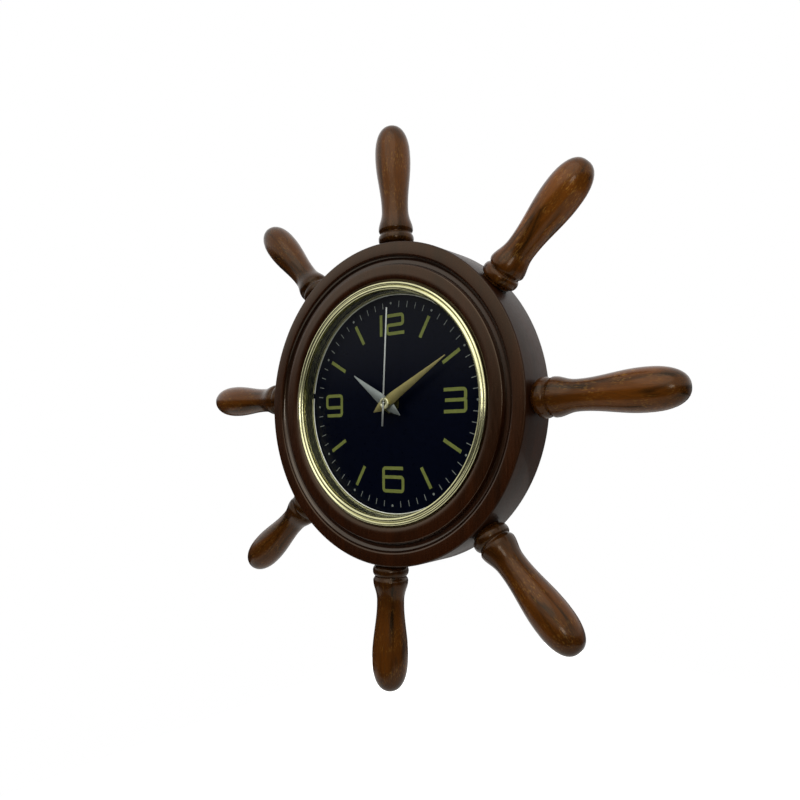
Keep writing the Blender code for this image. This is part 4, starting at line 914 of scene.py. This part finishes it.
class SHIPCLOCK_OT_hanger(bpy.types.Operator):
    """Finish the hanger plate and make its cross-head screws"""

    bl_idname = "shipclock.hanger"
    bl_label = "Hanger"

    def execute(self, context):
        plating = context.scene.ship_clock.movement.zinc
        zinc = metal("zinc_plated_steel", plating, 0.34, 0.6, 0.12)
        finish_node("hanger_plate", zinc)
        low = 0.35 * MM
        for side, x in (("left", -17.0), ("right", 17.0)):
            profile = in_mm((0.0, 12.2), (0.45, 12.2), (1.5, 9.2), (1.5, 2.25))
            profile += [(3.4 * MM, low), (3.2 * MM, low - 0.1 * MM), (0.0, low - 0.1 * MM)]
            arms = ((0.35, 1.9), (1.9, 0.35))
            slots = [
                block("slot", (-w * MM, -h * MM, -MM), (w * MM, h * MM, 1.3 * MM)) for w, h in arms
            ]
            mesh = carved("hanger_screw", turned("screw", profile, 40), slots)
            place = Matrix.Translation((x * MM, HANGER_Y, 0.0))
            place @= Matrix.Rotation(math.radians(x * 2), 4, "Z")
            name = f"hanger_screw_{side}"
            place_piece(f"cross_{name}", mesh, "clock", zinc, (name,), place)
        return {"FINISHED"}


class SHIPCLOCK_OT_movement(bpy.types.Operator):
    """Finish the movement, its fasteners and the battery"""

    bl_idname = "shipclock.movement"
    bl_label = "Movement"

    def execute(self, context):
        tones = context.scene.ship_clock.movement
        zinc = bpy.data.materials["zinc_plated_steel"]
        # Darker than the nut's brass: painted shade on the bush, washer, nut and arbor
        brass = metal("dull_turned_brass_shaded", linear(DULL_BRASS_SHADED), 0.45, 0.4, 0.1)
        black = moulded("moulded_black_abs", tones.black, 0.5, 0.5)
        nylon = moulded("moulded_white_nylon", tones.nylon, 0.4, 0.8)
        rubber = moulded("moulded_rubber", linear(RUBBER), 0.85, 0.6)
        magnet = moulded("sintered_ferrite", linear(FERRITE), 0.5, 0.3)
        iron = metal("stamped_silicon_iron", linear(SILICON_IRON), 0.45, 0.5, 0.2)
        grey = moulded("moulded_grey_abs", linear(KNOB_GREY), 0.5, 0.5)
        wheels = ("seconds_wheel", "step_wheel", "third_wheel", "centre_wheel")
        contacts = ("battery_contact_positive", "battery_contact_negative")
        finishes = (
            ("brass", brass, ("threaded_bush", "dial_washer", "hex_nut", "minute_arbor")),
            ("rubber", rubber, ("rubber_washer",)),
            ("black_plastic", black, ("movement_front_case", "movement_back_cover")),
            ("nylon", nylon, ("gear_plate", *wheels, "motion_wheel", "hour_wheel")),
            ("magnet", magnet, ("rotor",)),
            ("stator_iron", iron, ("stator",)),
            ("zinc_steel", zinc, (*contacts, "quartz_crystal")),
            ("nylon", grey, ("setting_knob",)),
            ("copper", self.winding(tones), ("coil",)),
            ("circuit_green", self.board(tones), ("circuit_board",)),
        )
        for slot, finish, nodes in finishes:
            for node in nodes:
                finish_node(node, finish)
        self.make_battery(tones, zinc)
        self.make_cover_marks()
        return {"FINISHED"}

    def winding(self, tones):
        """Enamelled copper wire, wound: each turn catches its own light.

        A turn is drawn 0.6 mm wide, coarser than the real wire, so that it shows. The colour is
        darker between the turns, as painted shade.
        """
        made, add, shader, coords = start_finish(
            "enamelled_copper_winding", Metallic=0.85, Roughness=0.3
        )
        wave = {"Vector": coords, "Scale": per_mm(0.3) / 20 * math.pi}
        turns = add("TexWave", wave, "Fac", bands_direction="X")
        # Painted shade: darker between the turns
        stops = [(0.1, shaded(tones.copper, 0.35)), (0.6, tones.copper)]
        add("ValToRGB", (turns,), to=shader["Base Color"], stops=stops)
        add("Bump", {"Strength": 0.6, "Distance": 0.1 * MM, "Height": turns}, to=shader["Normal"])
        return made

    def board(self, tones):
        """Glass-epoxy board under green solder mask, with raised copper tracks."""
        made, add, shader, coords = start_finish("green_solder_mask", Roughness=0.4)
        cells = {"Vector": coords, "Scale": per_mm(3.0)}
        tracks = add("TexVoronoi", cells, distance="MANHATTAN", feature="F1")
        stops = [(0.45, tones.board_green), (0.5, shaded(tones.board_green, 1.8))]
        add("ValToRGB", (tracks,), to=shader["Base Color"], stops=stops)
        add(
            "Bump", {"Strength": 0.3, "Distance": 0.05 * MM, "Height": tracks}, to=shader["Normal"]
        )
        return made

    def make_cover_marks(self):
        """Pad-printed on the cover: plus and minus over the bay, an arrow round the knob."""
        ink = printed("pad_printed_grey", linear(PRINT_GREY), 0.6, 0.2)
        names = ("movement_back_cover", "setting_knob", "battery")
        cover, knob, cell = (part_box(name) for name in names)
        back = -cover[1].y
        row = cell[1].z + AXIS_DROP + 4.5 * MM
        end, arm, wide = 22.0 * MM, 2.0 * MM, 0.8 * MM
        signs = [
            [(end - arm, row), (end + arm, row)],
            [(end, row - arm), (end, row + arm)],
            [(-end - arm, row), (-end + arm, row)],
        ]
        outlines = [stroke(sign, wide, 0.0) for sign in signs]
        middle = ((knob[0].x + knob[1].x) / 2, (knob[0].z + knob[1].z) / 2 + AXIS_DROP)
        outer, inner = 7.6 * MM, 6.8 * MM
        arrow = arc(middle, (outer, outer), -75, 75, 16)
        outlines.append(arrow + arc(middle, (inner, inner), 75, -75, 16))
        head = [polar(outer + wide, 15), polar(inner - wide, 15), polar((outer + inner) / 2, 0)]
        outlines.append([(middle[0] + x, middle[1] + y) for x, y in head])
        # Each mark stands 0.01 mm prouder than the last, so that no two faces coincide
        marks = [
            plate("mark", [outline], back - (0.1 + i * 0.01) * MM, back + 0.1 * MM)
            for i, outline in enumerate(outlines)
        ]
        place_piece("cover_marks", merged("cover_marks", marks), "clock", ink)

    def make_battery(self, tones, zinc):
        """An AA cell: plain shrink wrap with steel ends."""
        low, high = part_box("battery")
        length = high.x - low.x
        radius = max((high.z - low.z) / 2, (high.y - low.y) / 2)
        edge, film_end = 0.5 * MM, length - 1.4 * MM
        wrap = arc((radius - edge, edge), (edge, edge), -90, 0, 4)
        wrap += arc((radius - edge, film_end - edge), (edge, edge), 0, 90, 4)
        inside = radius - 1.2 * MM
        wrap += [(inside, film_end), (inside, edge), (inside, 0.0)]
        can = radius - 1.0 * MM
        steel = [(0.0, 0.15 * MM), (can, 0.15 * MM)]
        steel += [(can, length - 1.6 * MM), (2.9 * MM, length - 1.6 * MM)]
        steel += [(2.7 * MM, film_end), (2.7 * MM, length - 0.3 * MM)]
        steel += [(2.4 * MM, length), (0.0, length)]
        middle = STAND.inverted() @ Vector((low.x, (low.y + high.y) / 2, (low.z + high.z) / 2))
        place = Matrix.Translation(middle) @ Matrix.Rotation(math.pi / 2, 4, "Y")
        film = moulded("shrink_wrap_film", tones.cell_wrap, 0.25, 2.0)
        mesh = turned("battery_wrap", wrap, 64, closed=True)
        place_piece("battery_wrap", mesh, "battery", film, ("battery",), place)
        mesh = turned("battery_ends", steel, 64)
        place_piece("battery_ends", mesh, "battery", zinc, ("battery",), place)


class SHIPCLOCK_OT_stage(bpy.types.Operator):
    """Make the pale floor, the soft lights, the room and the camera"""

    bl_idname = "shipclock.stage"
    bl_label = "Stage"

    def execute(self, context):
        scene = context.scene
        stage = scene.ship_clock.stage
        scene.view_settings.view_transform = "Standard"
        self.make_camera(scene)
        self.make_room(scene, stage)
        self.make_floor(stage)
        lamps = (
            ("key_lamp", (0.2, -0.6, 0.52), 0.9, stage.key_power),
            ("near_lamp", (0.86, -1.06, 0.02), 0.34, stage.near_power),
        )
        for name, place, width, power in lamps:
            light = bpy.data.lights.new(name, "AREA")
            light.shape = "DISK"
            light.size = width
            light.energy = power
            lamp = add_object(name, light)
            lamp.location = place
            aim = Vector((0.0, -0.02, -AXIS_DROP)) - Vector(place)
            lamp.rotation_euler = aim.to_track_quat("-Z", "Y").to_euler()
        return {"FINISHED"}

    def make_camera(self, scene):
        """The photograph's view: 39.6 degrees to the right, with the clock leaning a little."""
        data = bpy.data.cameras.new("camera")
        data.sensor_width = 36.0
        data.lens = 31.12
        data.shift_x = 0.0110
        data.shift_y = 0.00455
        data.clip_start = 0.01
        camera = add_object("camera", data)
        azimuth, elevation = math.radians(39.601), math.radians(-1.357)
        roll, lean, distance = math.radians(1.331), math.radians(2.38), 0.48505
        back = Vector(
            (
                math.sin(azimuth) * math.cos(elevation),
                -math.cos(azimuth) * math.cos(elevation),
                math.sin(elevation),
            )
        )
        right = (-back).cross(Vector((0.0, 0.0, 1.0))).normalized()
        up = right.cross(-back)
        tilted_right = right * math.cos(roll) + up * math.sin(roll)
        tilted_up = up * math.cos(roll) - right * math.sin(roll)
        turn = Matrix((tilted_right, tilted_up, back)).transposed().to_4x4()
        aim = Vector((0.0, -0.020, -AXIS_DROP))
        seen = Matrix.Translation(aim + back * distance) @ turn
        axis = Vector((0.0, 0.0, -AXIS_DROP))
        around = Matrix.Translation(axis) @ Matrix.Rotation(lean, 4, "Y")
        camera.matrix_world = around @ Matrix.Translation(-axis) @ seen
        scene.camera = camera

    def make_room(self, scene, stage):
        """White to the camera; to the clock, a room with a bright ceiling and a pale back wall.

        Clear glass mirrors a dimmer room, so that the dark dial shows through it.
        """
        world = bpy.data.worlds.new("studio")
        world.use_nodes = True
        add = partial(add_node, world.node_tree)
        ray = add("LightPath").node.outputs
        facing = add("TexCoord", out="Generated")
        height = add("SeparateXYZ", (facing,), "Z")
        eased = {"interpolation_type": "SMOOTHSTEP"}
        # Between which heights, and which directions, each of them fades in
        ceiling_edge, wall_edge = (0.04, 0.2), (0.6, 0.95)
        ceiling = add("MapRange", (height, *ceiling_edge, stage.room_dark, 1.0), **eased)
        wall_way = (0.47, 0.81, 0.35)
        behind = add("VectorMath", (facing, wall_way), "Value", operation="DOT_PRODUCT")
        wall = add("MapRange", (behind, *wall_edge, 0.0, stage.back_wall), **eased)
        soft = add("Math", (ceiling, stage.room_light), operation="MULTIPLY")
        room = add("Math", (soft, wall), operation="MAXIMUM")
        in_glass = add("Math", (room, stage.room_in_glass), operation="MULTIPLY")
        room = add("Mix", {0: ray["Is Singular Ray"], 2: room, 3: in_glass})
        seen = (ray["Is Camera Ray"], ray["Is Transmission Ray"])
        seen = add("Math", seen, operation="MAXIMUM")
        background = world.node_tree.nodes["Background"].inputs
        background["Color"].default_value = (1.0, 1.0, 1.0, 1.0)
        add("Mix", {0: seen, 2: room, 3: 1.0}, to=background["Strength"])
        scene.world = world

    def make_floor(self, stage):
        """A pale floor that the camera sees as white, with the clock's shadow on it."""
        shape = bmesh.new()
        bmesh.ops.create_grid(shape, x_segments=8, y_segments=8, size=1.5)
        mesh = mesh_from("floor", shape)
        floor = add_object("floor", mesh)
        floor.location = (0.0, 0.75, -stage.floor_drop)
        made, add, shader, coords = start_finish("pale_floor", Roughness=0.9)
        clouds = add("TexNoise", {"Vector": coords, "Scale": per_mm(180.0)})
        stops = [(0.3, shaded(stage.floor_colour, 0.98)), (0.7, stage.floor_colour)]
        add("ValToRGB", (clouds,), to=shader["Base Color"], stops=stops)
        ray = add("LightPath", out="Is Camera Ray")
        shader["Emission Color"].default_value = (1.0, 1.0, 1.0, 1.0)
        glow = 0.8
        add("Math", (ray, glow), to=shader["Emission Strength"], operation="MULTIPLY")
        mesh.materials.append(made)


class SHIPCLOCK_PT_panel(bpy.types.Panel):
    """The clock's operators and settings"""

    bl_idname = "SHIPCLOCK_PT_panel"
    bl_label = "Ship Wheel Clock"
    bl_space_type = "VIEW_3D"
    bl_region_type = "UI"
    bl_category = "Ship Clock"

    def draw(self, context):
        clock = context.scene.ship_clock
        for operator in OPERATORS:
            self.layout.operator(operator.bl_idname)
        for field in ClockSettings.__annotations__:
            group = getattr(clock, field)
            box = self.layout.box()
            for name in group.__annotations__:
                box.prop(group, name)


OPERATORS = (
    SHIPCLOCK_OT_stage,
    SHIPCLOCK_OT_wheel,
    SHIPCLOCK_OT_handles,
    SHIPCLOCK_OT_bezel,
    SHIPCLOCK_OT_dial,
    SHIPCLOCK_OT_hands,
    SHIPCLOCK_OT_hanger,
    SHIPCLOCK_OT_movement,
)
GROUPS = (
    WoodSettings,
    BezelSettings,
    DialSettings,
    HandSettings,
    MovementSettings,
    StageSettings,
    ClockSettings,
)


def register():
    for item in (*GROUPS, *OPERATORS, SHIPCLOCK_PT_panel):
        bpy.utils.register_class(item)
    bpy.types.Scene.ship_clock = PointerProperty(type=ClockSettings)


def unregister():
    del bpy.types.Scene.ship_clock
    for item in reversed((*GROUPS, *OPERATORS, SHIPCLOCK_PT_panel)):
        bpy.utils.unregister_class(item)


def main():
    register()
    bpy.ops.shipclock.stage()
    bpy.ops.shipclock.wheel()
    bpy.ops.shipclock.handles()
    bpy.ops.shipclock.bezel()
    bpy.ops.shipclock.dial()
    bpy.ops.shipclock.hands()
    bpy.ops.shipclock.hanger()
    bpy.ops.shipclock.movement()


if __name__ == "__main__":
    main()
